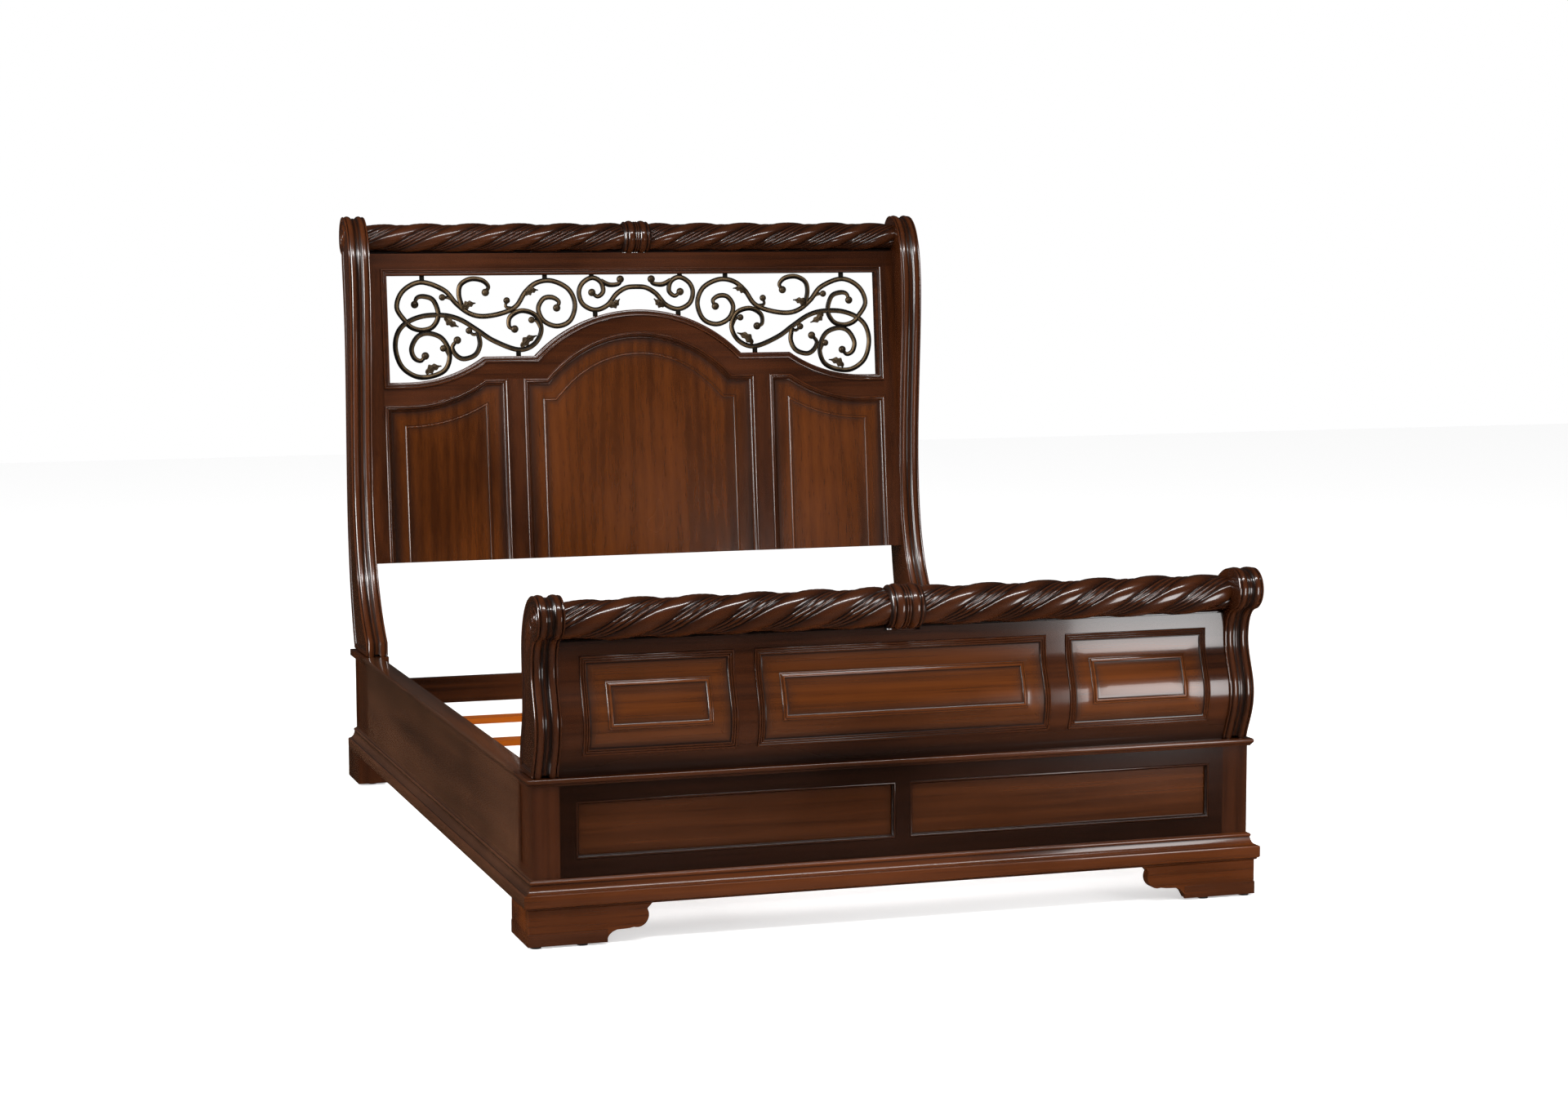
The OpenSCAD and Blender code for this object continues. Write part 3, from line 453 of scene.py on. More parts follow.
# ---- Head corner posts and rear feet -------------------------------------------------
# Square blocks glued up from the same hardwood: the side rails bolt to them, the scrolled
# posts stand on them, and plain feet are screwed under them.
refinish(mahogany_upright, "head_corner_post_left", "head_corner_post_right", "rear_foot_left",
    "rear_foot_right")

# ---- Rope rails ----------------------------------------------------------------------
# Solid turnings carved as three fat strands with three fine reeds between them, one for
# each half of the head and the foot, thinned where they run into the posts.
carved_across = stained_wood("mahogany, carved across", "X", (0.036, 0.0082, 0.0014),
    (0.0060, 0.0015, 0.0005), 0.4, 1.0)
# Across one strand and its reeds: (share of the turn, height in millimetres, glaze and painted light),
# dark in the hollows as glaze and painted shade, pale on the crowns as rub and painted highlight
STRAND = [(0, -9, 1), (.015, -6.6, .6), (.05, -3.6, .15), (.11, -1.5, -.1), (.19, -.35, -.3),
    (.28, 0, -.4), (.37, -.35, -.3), (.46, -1.6, -.1), (.53, -3.8, .15), (.57, -6.4, .6), (.585, -8.8, 1),
    (.60, -8.0, .7), (.625, -6.2, 0), (.66, -5.2, -.5), (.695, -6.2, 0), (.72, -8.6, 1),
    (.735, -8.4, .8), (.76, -6.3, 0), (.80, -5.0, -.5), (.84, -6.2, 0), (.865, -8.6, 1),
    (.88, -8.4, .8), (.905, -6.6, 0), (.935, -5.7, -.5), (.965, -6.6, 0), (.985, -8.8, 1)]
STRANDS, STRAND_LEAD, STRAND_R = 3, 0.41, 0.047
POST_TAPER, COLLAR_TAPER, COLLAR_HALF = 0.12, 0.03, 0.0408


def rope_half(name, node, side):
    """One half of a rope rail, from under the collar to the post."""
    low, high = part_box(node)
    y, z = (low.y + high.y) / 2, (low.z + high.z) / 2
    r, end_x = (high.z - low.z) / 2, max(abs(low.x), abs(high.x))
    bm = bmesh.new()
    glaze_rub_and_painted_light = bm.verts.layers.float.new("glaze_rub_and_painted_light")
    sections, steps = [], 96
    for i in range(steps + 1):
        x = side * (COLLAR_HALF + (end_x - COLLAR_HALF) * i / steps)
        near_post = max(0, (abs(x) - end_x + POST_TAPER) / POST_TAPER)
        near_collar = max(0, (COLLAR_HALF + COLLAR_TAPER - abs(x)) / COLLAR_TAPER)
        share = 1 - 0.13 * near_post ** 1.6 - 0.07 * near_collar ** 2
        ring = []
        for start in range(STRANDS):
            for t, height, _ in STRAND:
                turn = math.tau * ((start + t) / STRANDS + x / STRAND_LEAD)
                cut_r = (r + height / 1000 * r / STRAND_R * (1 - 0.35 * near_post)) * share
                ring.append((x, y - cut_r * math.cos(turn), z + cut_r * math.sin(turn)))
        sections.append((ring, 0))
    skin(bm, sections)
    for i, v in enumerate(bm.verts):
        v[glaze_rub_and_painted_light] = STRAND[i % len(STRAND)][2]
    finished(bm, name, carved_across, stands_for=[node], sharp=50)


def turned(name, node, profile, segments=60):
    """A ring turned round its node's own axis across the bed, from (distance, rise, glaze and painted
    light).
    """
    low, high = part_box(node)
    y, z, r = (low.y + high.y) / 2, (low.z + high.z) / 2, (high.z - low.z) / 2
    bm = bmesh.new()
    glaze_rub_and_painted_light = bm.verts.layers.float.new("glaze_rub_and_painted_light")
    line = []
    for x, rise, tone in profile:
        v = bm.verts.new((x / 1000, y, z + r + rise / 1000))
        v[glaze_rub_and_painted_light] = tone
        line.append(v)
    edges = [bm.edges.new(pair) for pair in zip(line, line[1:])]
    bmesh.ops.spin(bm, geom=line + edges, cent=(0, y, z), axis=(1, 0, 0), angle=math.tau,
        steps=segments, use_merge=True)
    finished(bm, name, carved_across, stands_for=[node], sharp=50)


# Half of a collar's profile from its middle: (distance, rise, glaze and painted light) in millimetres
HALF_COLLAR = [(0, -5, .9), (1.2, -3.3, 0), (3.2, -2.4, -.4), (5.2, -3.3, 0), (6.4, -5.6, 1),
    (7.6, -5.6, .9), (9.2, -3.0, .1), (13, -.8, -.3), (18, 0, -.4), (23, -.8, -.3), (27, -3, .1),
    (28.4, -5.8, 1), (29.8, -5.4, .8), (31.4, -3.4, 0), (33.4, -2.6, -.4), (35.4, -3.4, 0),
    (36.8, -5.6, 1), (38.4, -7.4, .8), (41.6, -9, .6)]
COLLAR = [(-x, rise, tone) for x, rise, tone in reversed(HALF_COLLAR[1:])] + HALF_COLLAR
for end in ("head", "foot"):
    for side, hand in ((-1, "left"), (1, "right")):
        rope_half(f"{end}_rope_carved_{hand}", f"{end}_rope_{hand}", side)
    turned(f"{end}_collar_turned", f"{end}_collar", COLLAR)

# ---- Rope beds -----------------------------------------------------------------------
# Thin strips glued along the back of the top edges and scribed up into the hollows of the
# ropes, so that no light shows between a rope and the board under it.
BED_RISE, BED_DROP, UNDER_COLLAR = 0.0105, 0.0085, 0.0078


def rope_bed(name, node, board):
    low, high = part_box(node)
    middle, under = (low.y + high.y) / 2, low.z
    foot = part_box(board)[1].z - BED_DROP
    ring = [(middle + 0.006, foot), (middle + 0.006, under + 0.002),
        (middle + 0.009, under + 0.5 * BED_RISE), (middle + 0.013, under + BED_RISE),
        (middle + 0.0165, under + BED_RISE), (middle + 0.0175, under + BED_RISE - 0.002),
        (middle + 0.0175, foot)]
    ends = (low.x, high.x + UNDER_COLLAR) if low.x < 0 else (low.x - UNDER_COLLAR, high.x)
    bm = bmesh.new()
    # The strips are darkened halfway as painted shade under the ropes.
    skin(bm, [([(x, *p) for p in ring], 0.5) for x in ends])
    finished(bm, name, carved_across)


for end, board in (("head", "head_top_board"), ("foot", "foot_curved_panel")):
    for hand in ("left", "right"):
        rope_bed(f"{end}_rope_bed_{hand}", f"{end}_rope_{hand}", board)

# ---- Headboard frame -----------------------------------------------------------------
# Flat boards in one leaning plane: top board, stiles, muntins and the rail that is band-sawn
# to an arch, with a stretcher lower down between the corner posts.
refinish(mahogany_across, "head_top_board", "head_arched_rail", "head_stretcher")
refinish(mahogany_upright, "head_stiles", "head_muntins")
FRAME_THICK, LEAN = 0.026, math.radians(5.623)
muntin_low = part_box("head_muntins")[0]
board_y, board_z = muntin_low.y, muntin_low.z + FRAME_THICK * math.sin(LEAN)


def on_board(x, s, h):
    """A point x across and s up the headboard's slope, h in front of its frame."""
    return (x, board_y + s * math.sin(LEAN) - h * math.cos(LEAN),
        board_z + s * math.cos(LEAN) + h * math.sin(LEAN))


STILE_SHOWN, LINING, MUNTIN_WIDE, DRAWN_HALF = 0.040, 0.018, 0.047, 740
SIDE_OUT = head_low.x - STILE_SHOWN
HALF_OPEN = SIDE_OUT - LINING
ARCH_X, SHOULDER_X, FLAT_X, CENTRE_X = (HALF_OPEN * x / DRAWN_HALF for x in (312, 463, 690, 350))
ARCH_RISE, SHOULDER_RISE, RAIL_HIGH, OPEN_HIGH = 0.131, 0.071, 0.066, 0.307
opening_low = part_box("opening_moulding")[0]
SILL = (opening_low.z - board_z + FRAME_THICK * math.sin(LEAN)) / math.cos(LEAN) + LINING
ARCH_R = (ARCH_X ** 2 + ARCH_RISE ** 2) / (2 * ARCH_RISE)
COVE_R = ((FLAT_X - SHOULDER_X) ** 2 + SHOULDER_RISE ** 2) / (2 * SHOULDER_RISE)


def sill_at(x):
    """Height of the sill under the scrollwork: arch, shoulder, cove and flat end."""
    a = abs(x)
    if a < ARCH_X:
        return SILL + SHOULDER_RISE + ARCH_RISE - ARCH_R + math.sqrt(ARCH_R ** 2 - a * a)
    if a < SHOULDER_X:
        return SILL + SHOULDER_RISE
    return SILL + (COVE_R - math.sqrt(COVE_R ** 2 - (FLAT_X - a) ** 2) if a < FLAT_X else 0)


ARCH_STEPS, COVE_STEPS = 24, 16


def half_sill(end_x):
    """The right half of the sill from the crown of its arch out to a given end."""
    arch = [ARCH_X * i / ARCH_STEPS for i in range(ARCH_STEPS)]
    cove = [SHOULDER_X + (FLAT_X - SHOULDER_X) * i / COVE_STEPS for i in range(1, COVE_STEPS)]
    shoulder = [(ARCH_X, SILL + SHOULDER_RISE), (SHOULDER_X, SILL + SHOULDER_RISE)]
    return [(x, sill_at(x)) for x in arch] + shoulder + [(x, sill_at(x)) for x in cove] \
        + [(FLAT_X, SILL), (end_x, SILL)]


# ---- Moulding round the opening ------------------------------------------------------
# Lines the opening's edge through the frame and laps its front with two beads and a cove.
def moulding(name, wood, node, line_at, profile, side=1, closed=False):
    """A profile of (inwards, forwards, glaze and painted light) in millimetres, run round a line on the
    headboard.
    """
    bm = bmesh.new()
    skin(bm, [([on_board(side * x, s, h / 1000) for x, s in line_at(d / 1000)], g)
        for d, h, g in profile], closed)
    finished(bm, name, wood, stands_for=[node], sharp=40)


right_sill = half_sill(HALF_OPEN)
opening_line = [(-HALF_OPEN, SILL + OPEN_HIGH), (HALF_OPEN, SILL + OPEN_HIGH)] \
    + list(reversed(right_sill)) + [(-x, s) for x, s in right_sill[1:]]
OPENING_PROFILE = [(-18, -26, 0), (-18, 1.5, .9), (-17.8, 4.2, .2), (-16.6, 5.7, -.5), (-14.9, 6, -.5),
    (-13.5, 5, 0), (-13, 3.2, 1), (-12.3, 3, .8), (-11.6, 4.1, 0), (-10.2, 4.7, -.4), (-8.9, 3.9, 0),
    (-8.5, 2.1, 1), (-6.4, .9, .3), (-4, .25, 0), (-1.2, 0, -.2), (0, -.8, .1), (0, -26, .2),
    (-18, -26, 0)]
moulding("opening_moulding_run", mahogany_across, "opening_moulding",
    lambda d: moved_in(opening_line, d), OPENING_PROFILE, closed=True)

# ---- Headboard panels ----------------------------------------------------------------
# Figured veneer on a core, lighter and more amber than the frame: a flat margin toned dark
# at its edge, partly toner and partly painted shade beside the moulding, a raised bead, and a field that
# stands a little proud inside it.
amber_upright = stained_wood("figured panel, upright", "Z", (0.088, 0.0212, 0.0022),
    (0.0260, 0.0058, 0.0006), 0.9)
amber_across = stained_wood("figured panel, across", "X", (0.102, 0.0250, 0.0028),
    (0.0300, 0.0068, 0.0008), 0.9)
SIDE_IN, CROWN_SHARE, CURVE_STEPS = CENTRE_X + MUNTIN_WIDE, 0.9, 18


def side_panel_line(d):
    """The right panel's edge from its lower inner corner over the top, moved inwards by d."""
    low, r = SILL - RAIL_HIGH, COVE_R + d
    top, x0, x1 = low + SHOULDER_RISE - d, SIDE_IN + d, SIDE_OUT - d
    reach = FLAT_X - math.sqrt(r * r - (low + COVE_R - top) ** 2)
    start, stop = max(x0, reach), min(x1, FLAT_X)

    def height(x):
        return low + COVE_R - math.sqrt(r * r - (FLAT_X - x) ** 2)

    across = [start + (stop - start) * i / CURVE_STEPS for i in range(CURVE_STEPS + 1)]
    arc = [(x, height(x)) for x in across]
    return [(x0, 0), (x0, height(start))] + arc + [(x1, low - d), (x1, 0)]


def centre_panel_line(d):
    """The centre panel's edge from its lower left corner over the arch, moved inwards by d."""
    shoulder = SILL - RAIL_HIGH + SHOULDER_RISE
    crown = [(CROWN_SHARE * x, s - RAIL_HIGH) for x, s in half_sill(HALF_OPEN)[:ARCH_STEPS]]
    half = crown + [(CROWN_SHARE * ARCH_X, shoulder), (CENTRE_X, shoulder), (CENTRE_X, 0)]
    return moved_in([(-x, s) for x, s in reversed(half)][:-1] + half, d, False)


# From a panel's edge inwards: (inwards, forwards, glaze and painted light) in millimetres
PANEL_PROFILE = [(16, -15.5, 0), (16, -6, .9), (22, -6, .62), (32, -6, .25), (46, -6, .06),
    (57, -6, .15), (58.6, -6, .9), (59.4, -4.4, .3), (60.6, -3.0, -.1), (62, -2.5, -.2),
    (63.4, -3.0, -.1), (64.6, -4.2, .9), (66, -4.3, .45), (78, -4.3, .1), (100, -4.3, 0)]
PANEL_MOULD = [(0, -6, 0), (0, 1.2, .9), (.8, 3.2, .2), (2.2, 4.7, -.5), (3.8, 5.1, -.6), (5.2, 4.2, 0),
    (6, 2.6, 1), (6.7, 2.4, .8), (7.5, 3.4, 0), (8.8, 3.9, -.4), (10.1, 3.2, 0), (11, 1.5, 1),
    (11.7, 1.2, .6), (13.1, .1, 0), (14.2, -1.7, 0), (15.1, -3.4, .7), (15.7, -3.5, .5),
    (16.6, -2.8, -.3), (17.5, -3.3, 0), (18, -4.7, .6), (18, -6, 1), (0, -6, 0)]
for hand, line_at, side in (("left", side_panel_line, -1), ("centre", centre_panel_line, 1),
        ("right", side_panel_line, 1)):
    moulding("head_panel_figured_" + hand, amber_upright, "head_panel_" + hand, line_at,
        PANEL_PROFILE, side, True)
    moulding("head_panel_beads_" + hand, mahogany_upright, "head_panel_moulding_" + hand, line_at,
        PANEL_MOULD, side)

# ---- Scrollwork ----------------------------------------------------------------------
# Three flat castings of iron rod forms with ball ends and leaves, painted dark bronze and
# rubbed back to a warm metal on the ridges, a rub that is also a painted highlight; short tabs let into
# the frame hold them.
def bronzed_iron():
    """Dark bronze paint, worn to warm metal where a patchy noise meets a ridge; the wear is also a painted
    highlight.
    """
    finish, tree, surface = new_finish("bronzed iron")
    place = add_node(tree, "TexCoord", {}).outputs["Object"]
    patch = add_node(tree, "TexNoise", {"Vector": place, "Scale": 38, "Detail": 4}).outputs["Fac"]
    cast = add_node(tree, "TexNoise", {"Vector": place, "Scale": 420}).outputs["Fac"]
    # The ridge mask picks out the rods' fronts, the balls and the leaves: rubbed metal that also paints
    # their highlight.
    ridge = add_node(tree, "Attribute", {}, attribute_name="glaze_rub_and_painted_light").outputs["Fac"]
    rub_and_highlight = add_node(tree, "Math", {0: ridge, 1: patch}, operation="MULTIPLY").outputs[0]
    worn_and_highlit = add_node(tree, "MapRange", {0: rub_and_highlight, 1: 0.10, 2: 0.50, 3: 0.0, 4: 1.0}).outputs[0]
    tone = add_node(tree, "Mix", {0: worn_and_highlit, 6: (0.012, 0.009, 0.006, 1), 7: (0.20, 0.130, 0.066, 1)},
        data_type="RGBA")
    rough = add_node(tree, "MapRange", {0: patch, 1: 0.3, 2: 0.7, 3: 0.34, 4: 0.5})
    bump = add_node(tree, "Bump", {"Strength": 0.35, "Distance": 0.0004, "Height": cast})
    set_sockets(tree, surface, {"Base Color": tone.outputs[2], "Roughness": rough.outputs[0],
        "Normal": bump.outputs[0], "Metallic": 0.75})
    return finish


iron = bronzed_iron()
IRON_DEEP = -FRAME_THICK / 2


def casting_point(x, s):
    """A point drawn in millimetres across and above the sill, in metres on the board."""
    return x / 1000 * HALF_OPEN / (DRAWN_HALF / 1000), s / 1000 + SILL


def smooth_line(points, steps=7):
    """A smooth line through points given in millimetres across and above the sill."""
    line, last = [], len(points) - 1
    for i in range(last):
        a, b, c, d = (Vector(points[min(max(k, 0), last)]) for k in (i - 1, i, i + 1, i + 2))
        for t in (j / steps for j in range(steps)):
            line.append(casting_point(*(0.5 * (2 * b + (c - a) * t
                + (2 * a - 5 * b + 4 * c - d) * t * t + (3 * b - 3 * c + d - a) * t ** 3))))
    return line + [casting_point(*points[-1])]


ROD_SIDES, ROD_FRONT, ROD_FADE, ROD_THIN = 12, 3, 14, 0.7


def iron_rod(bm, line, side, wide=0.0148, thick=0.0125, thin_end=1.0):
    """A cast rod with a soft ridge down its front and back, thinner at its start."""
    sections, n = [], len(line) - 1
    for i, (x, s) in enumerate(line):
        run = run_at(line, i)
        size = ROD_THIN + (1 - ROD_THIN) * min(1, i / ROD_FADE)
        if thin_end < 1 and n - i < ROD_FADE:
            size *= thin_end + (1 - thin_end) * (n - i) / ROD_FADE
        ring = []
        for k in range(ROD_SIDES):
            turn = math.tau * k / ROD_SIDES
            flat = (0.86 if k % 6 else 1) * (1.12 if k in (3, 9) else 1)
            off, up = wide / 2 * size * math.cos(turn), thick / 2 * size * math.sin(turn) * flat
            ring.append(on_board(side * (x - run.y * off), s + run.x * off, IRON_DEEP + up))
        sections.append((ring, 0))
    start = len(bm.verts)
    skin(bm, sections)
    # The line down each rod's front is lit with the rub mask: rubbed metal and a painted highlight.
    glaze_rub_and_painted_light = bm.verts.layers.float["glaze_rub_and_painted_light"]
    bm.verts.ensure_lookup_table()
    for i in range(start, len(bm.verts)):
        from_front = abs((i - start) % ROD_SIDES - ROD_FRONT)
        bm.verts[i][glaze_rub_and_painted_light] = (1.0, 0.35)[from_front] if from_front < 2 else 0.0


BALL_R, STEM_BALL_R, BALL_FLAT = 0.0112, 0.0098, 0.85


def iron_ball(bm, x, s, side, r=BALL_R):
    glaze_rub_and_painted_light = bm.verts.layers.float["glaze_rub_and_painted_light"]
    seat = Matrix.Translation(on_board(side * x, s, IRON_DEEP)) @ Matrix.Diagonal((1, BALL_FLAT, 1, 1))
    ball = bmesh.ops.create_uvsphere(bm, u_segments=18, v_segments=12, radius=r, matrix=seat)
    # Each ball is lit all over with the rub mask, rubbed metal and a painted highlight.
    for v in ball["verts"]:
        v[glaze_rub_and_painted_light] = 0.42


# Across an iron leaf: (share of the half width, share of the height)
CUPPED = ((-1, 0), (-.6, .9), (-.25, .35), (0, 1.25), (.25, .35), (.6, .9), (1, 0), (.5, -1.3),
    (-.5, -1.3))


def iron_leaf(bm, root, tip, side, wide, bend):
    """A lobed leaf that lies over the front of a rod, with a ridge and cupped halves."""
    a, b = Vector(root), Vector(tip)
    run, sections, steps, lobes = b - a, [], 16, 3
    out = Vector((-run.y, run.x)).normalized()
    for t in (i / steps for i in range(steps + 1)):
        swell = 0.30 + 0.70 * math.sin(math.pi * min(1, t * 1.1)) ** 0.7
        half = wide / 2 * swell * (1 - 0.55 * t ** 2) * (1 + 0.22 * math.cos(t * math.tau * lobes))
        middle = a + run * t + out * bend * math.sin(math.pi * t)
        lift = IRON_DEEP + 0.0052 + 0.0035 * math.sin(math.pi * t)
        # The leaves carry the rub mask at 0.45, rubbed metal and a painted highlight.
        sections.append(([on_board(side * (middle.x + out.x * half * o), middle.y + out.y * half * o,
            lift + 0.0028 * up * (1 - 0.4 * t)) for o, up in CUPPED], 0.45))
    skin(bm, sections)


TAB_HALF_WIDE, TAB_HALF_THICK = 0.0062, 0.005


def iron_tab(bm, x, s0, s1, side):
    corners = ((-1, -1), (1, -1), (1, 1), (-1, 1))
    skin(bm, [([on_board(side * (x + TAB_HALF_WIDE * a), s, IRON_DEEP + TAB_HALF_THICK * b)
        for a, b in corners], 0) for s in (s0, s1)])


# The castings' lines, drawn in millimetres across from the middle and above the sill
UPPER = [(-241, 210), (-234, 228), (-254, 241), (-280, 237), (-296, 208), (-281, 173), (-242, 157),
    (-202, 173), (-186, 220), (-205, 265), (-253, 289), (-298, 284), (-333, 257), (-362, 216),
    (-406, 196), (-462, 188), (-502, 198), (-538, 226), (-573, 265), (-639, 288), (-692, 263),
    (-711, 215), (-684, 172)]
INNER = [(-659, 224), (-652, 243), (-631, 247), (-604, 235), (-591, 193), (-608, 160), (-639, 150),
    (-668, 157), (-686, 172)]
LOWER = [(-633, 76), (-647, 62), (-666, 72), (-672, 100), (-653, 132), (-621, 141), (-582, 125),
    (-562, 82), (-574, 38), (-613, 18), (-660, 17), (-702, 46), (-719, 98), (-710, 145), (-681, 174),
    (-633, 191), (-574, 192), (-527, 179), (-479, 149), (-431, 117), (-359, 90), (-311, 106),
    (-289, 147), (-305, 189), (-346, 203), (-380, 186), (-384, 158), (-368, 150)]
SMALL = [(-538, 120), (-553, 101), (-544, 78), (-521, 66), (-487, 77), (-472, 107), (-477, 142)]
CROOK = [(-451, 257), (-442, 274), (-460, 292), (-494, 296), (-523, 280), (-529, 250), (-520, 214)]
HEART = [(-134, 254), (-117, 242), (-100, 257), (-107, 285), (-133, 297), (-162, 281), (-173, 252),
    (-161, 219), (-126, 203), (-89, 216), (-60, 249), (-30, 267), (0, 270)]
WING = [(-47, 292), (-52, 279), (-80, 276), (-106, 288)]
STEMS = [[(-578, 244), (-556, 241), (-528, 220)], [(-389, 233), (-391, 214), (-362, 210)],
    [(-503, 147), (-490, 136), (-474, 140)], [(-317, 176), (-302, 172), (-290, 150)],
    [(-580, 97), (-570, 88), (-563, 74)]]
LEAVES = [((-522, 212), (-482, 226), .024, .004), ((-334, 250), (-296, 262), .024, .006),
    ((-574, 186), (-534, 158), .024, -.004), ((-352, 98), (-304, 130), .026, .006),
    ((-634, 26), (-588, 46), .026, .006)]
TAB_FROM = 0.286
for side, hand in ((1, "left"), (-1, "right")):
    bm = bmesh.new()
    for points, both in ((UPPER, False), (INNER, False), (LOWER, True), (SMALL, False), (CROOK, False)):
        line = smooth_line(points)
        iron_rod(bm, line, side, thin_end=0.7 if both else 1.0)
        for end in (line[0], line[-1]) if both else (line[0],):
            iron_ball(bm, *end, side)
    for points in STEMS:
        line = smooth_line(points, 6)
        iron_rod(bm, line, side, wide=0.0118, thick=0.0105)
        iron_ball(bm, *line[0], side, STEM_BALL_R)
    for root, tip, wide, bend in LEAVES:
        iron_leaf(bm, casting_point(*root), casting_point(*tip), side, wide, bend)
    for x in (-0.636, -0.274):
        iron_tab(bm, x, SILL + TAB_FROM, SILL + OPEN_HIGH, side)
    iron_tab(bm, -0.359, SILL + SHOULDER_RISE, SILL + 0.091, side)
    finished(bm, "scroll_casting_" + hand, iron, stands_for=["scrollwork_" + hand], sharp=60)
bm = bmesh.new()
for side in (1, -1):
    for points in (HEART, WING):
        line = smooth_line(points)
        iron_rod(bm, line, side)
        iron_ball(bm, *line[0], side)
    iron_leaf(bm, casting_point(-84, 212), casting_point(-52, 234), side, .024, -.004)
    iron_tab(bm, -0.134, SILL + 0.295, SILL + OPEN_HIGH, side)
    iron_tab(bm, -0.126, sill_at(0.126), SILL + 0.204, side)
finished(bm, "scroll_casting_centre", iron, stands_for=["scrollwork_centre"], sharp=60)

# ---- Foot posts ----------------------------------------------------------------------
# The same laminated and moulded stock as the head posts, sawn to a belly and a neck and
# rolled forwards; a scroll and two leaves are carved on the outer side of each roll.
ROLL_R, ROLL_AHEAD, ROLL_TO_NECK, BELLY_SHARE = 0.050, 0.031, 0.116, 0.466
POST_BACK, NECK_BACK, WAIST_BACK = 121, 93, 89
foot_low, foot_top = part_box("foot_post_right")
plinth_front = foot_low.y + ROLL_AHEAD + ROLL_R
roll_y, roll_z = plinth_front - ROLL_AHEAD, foot_top.z - ROLL_R
neck_z = roll_z - ROLL_TO_NECK
belly_z = foot_low.z + BELLY_SHARE * (neck_z - foot_low.z)


def foot_point(y, z):
    """A point y millimetres behind the plinth's face at height z."""
    return plinth_front + y / 1000, z


foot_front = [[(0, foot_low.z), (-10, foot_low.z + 0.036), (-37, belly_z - 0.050), (-37, belly_z)],
    [(-37, belly_z), (-37, belly_z + 0.048), (-4, neck_z - 0.046), (-4, neck_z)]]
roll_turns = [math.radians(a) for a in range(-100, -271, -5)]
foot_roll = [(roll_y + ROLL_R * math.cos(a), roll_z + ROLL_R * math.sin(a)) for a in roll_turns]
under_roll = [[foot_point(-4, neck_z), foot_point(-4, neck_z + 0.030), foot_point(-14, roll_z - 0.056),
    foot_roll[0]]]
foot_back = [[(-27, foot_top.z), (44, foot_top.z), (NECK_BACK, roll_z - 0.015),
        (NECK_BACK, neck_z + 0.034)],
    [(NECK_BACK, neck_z + 0.034), (NECK_BACK, neck_z - 0.010), (WAIST_BACK, belly_z + 0.085),
        (WAIST_BACK, belly_z + 0.040)],
    [(WAIST_BACK, belly_z + 0.040), (WAIST_BACK, belly_z - 0.010), (POST_BACK, belly_z - 0.032),
        (POST_BACK, foot_low.z)]]
foot_outline = outline_of(foot_front, foot_point, 14) + curve_through(under_roll, 8) + foot_roll \
    + outline_of(foot_back, foot_point, 14) + [foot_point(POST_BACK, foot_low.z)]
carved_upright = stained_wood("mahogany, carved upright", "Z", (0.040, 0.0092, 0.0016),
    (0.0068, 0.0017, 0.0005), 0.5, 0.9)
for side, hand in ((-1, "left"), (1, "right")):
    bm = post(foot_outline, side, foot_low.x)
    face, eye_at = foot_low.x + CARVING_BASE, (roll_y, roll_z)
    carved_roll(bm, scroll_line(eye_at, 0.034, 0.010, -0.20, -1.4), face, side, 0.009, 0.0036)
    carved_eye(bm, eye_at, face, side, 0.010, 0.0048)
    carved_leaf(bm, (roll_y + 0.040, roll_z - 0.022), (roll_y + 0.062, roll_z - 0.100), 0.034, face, side,
        0.004)
    carved_leaf(bm, (roll_y + 0.050, roll_z - 0.010), (roll_y + 0.088, roll_z - 0.062), 0.024, face, side,
        0.0036, -0.1)
    finished(bm, "foot_post_carved_" + hand, carved_upright, stands_for=["foot_post_" + hand])
refinish(mahogany_upright, "foot_corner_post_left", "foot_corner_post_right")

# ---- Curved foot panel ---------------------------------------------------------------
# One coopered panel that follows the posts' belly, faced in mahogany; three reeded frames
# are pinned on it, each round a margin of paler figured veneer, a bead and a raised field.
belly_line = outline_of(foot_front, foot_point, 24) + [foot_point(-4, neck_z), foot_point(-4, foot_top.z)]
CURVE_BACK, CURVE_THICK, SLOPE_STEP = 0.008, 0.020, 0.004


def belly_y(z):
    """The posts' front edge at height z."""
    for (y0, z0), (y1, z1) in zip(belly_line, belly_line[1:]):
        if z <= z1:
            return y0 + (y1 - y0) * (z - z0) / (z1 - z0)
    return belly_line[-1][0]


def on_belly(x, z, h):
    """A point on the curved panel, h metres in front of its face."""
    slope = (belly_y(z + SLOPE_STEP) - belly_y(z - SLOPE_STEP)) / (2 * SLOPE_STEP)
    long = math.sqrt(1 + slope * slope)
    return (x, belly_y(z) + CURVE_BACK - h / long, z + h * slope / long)


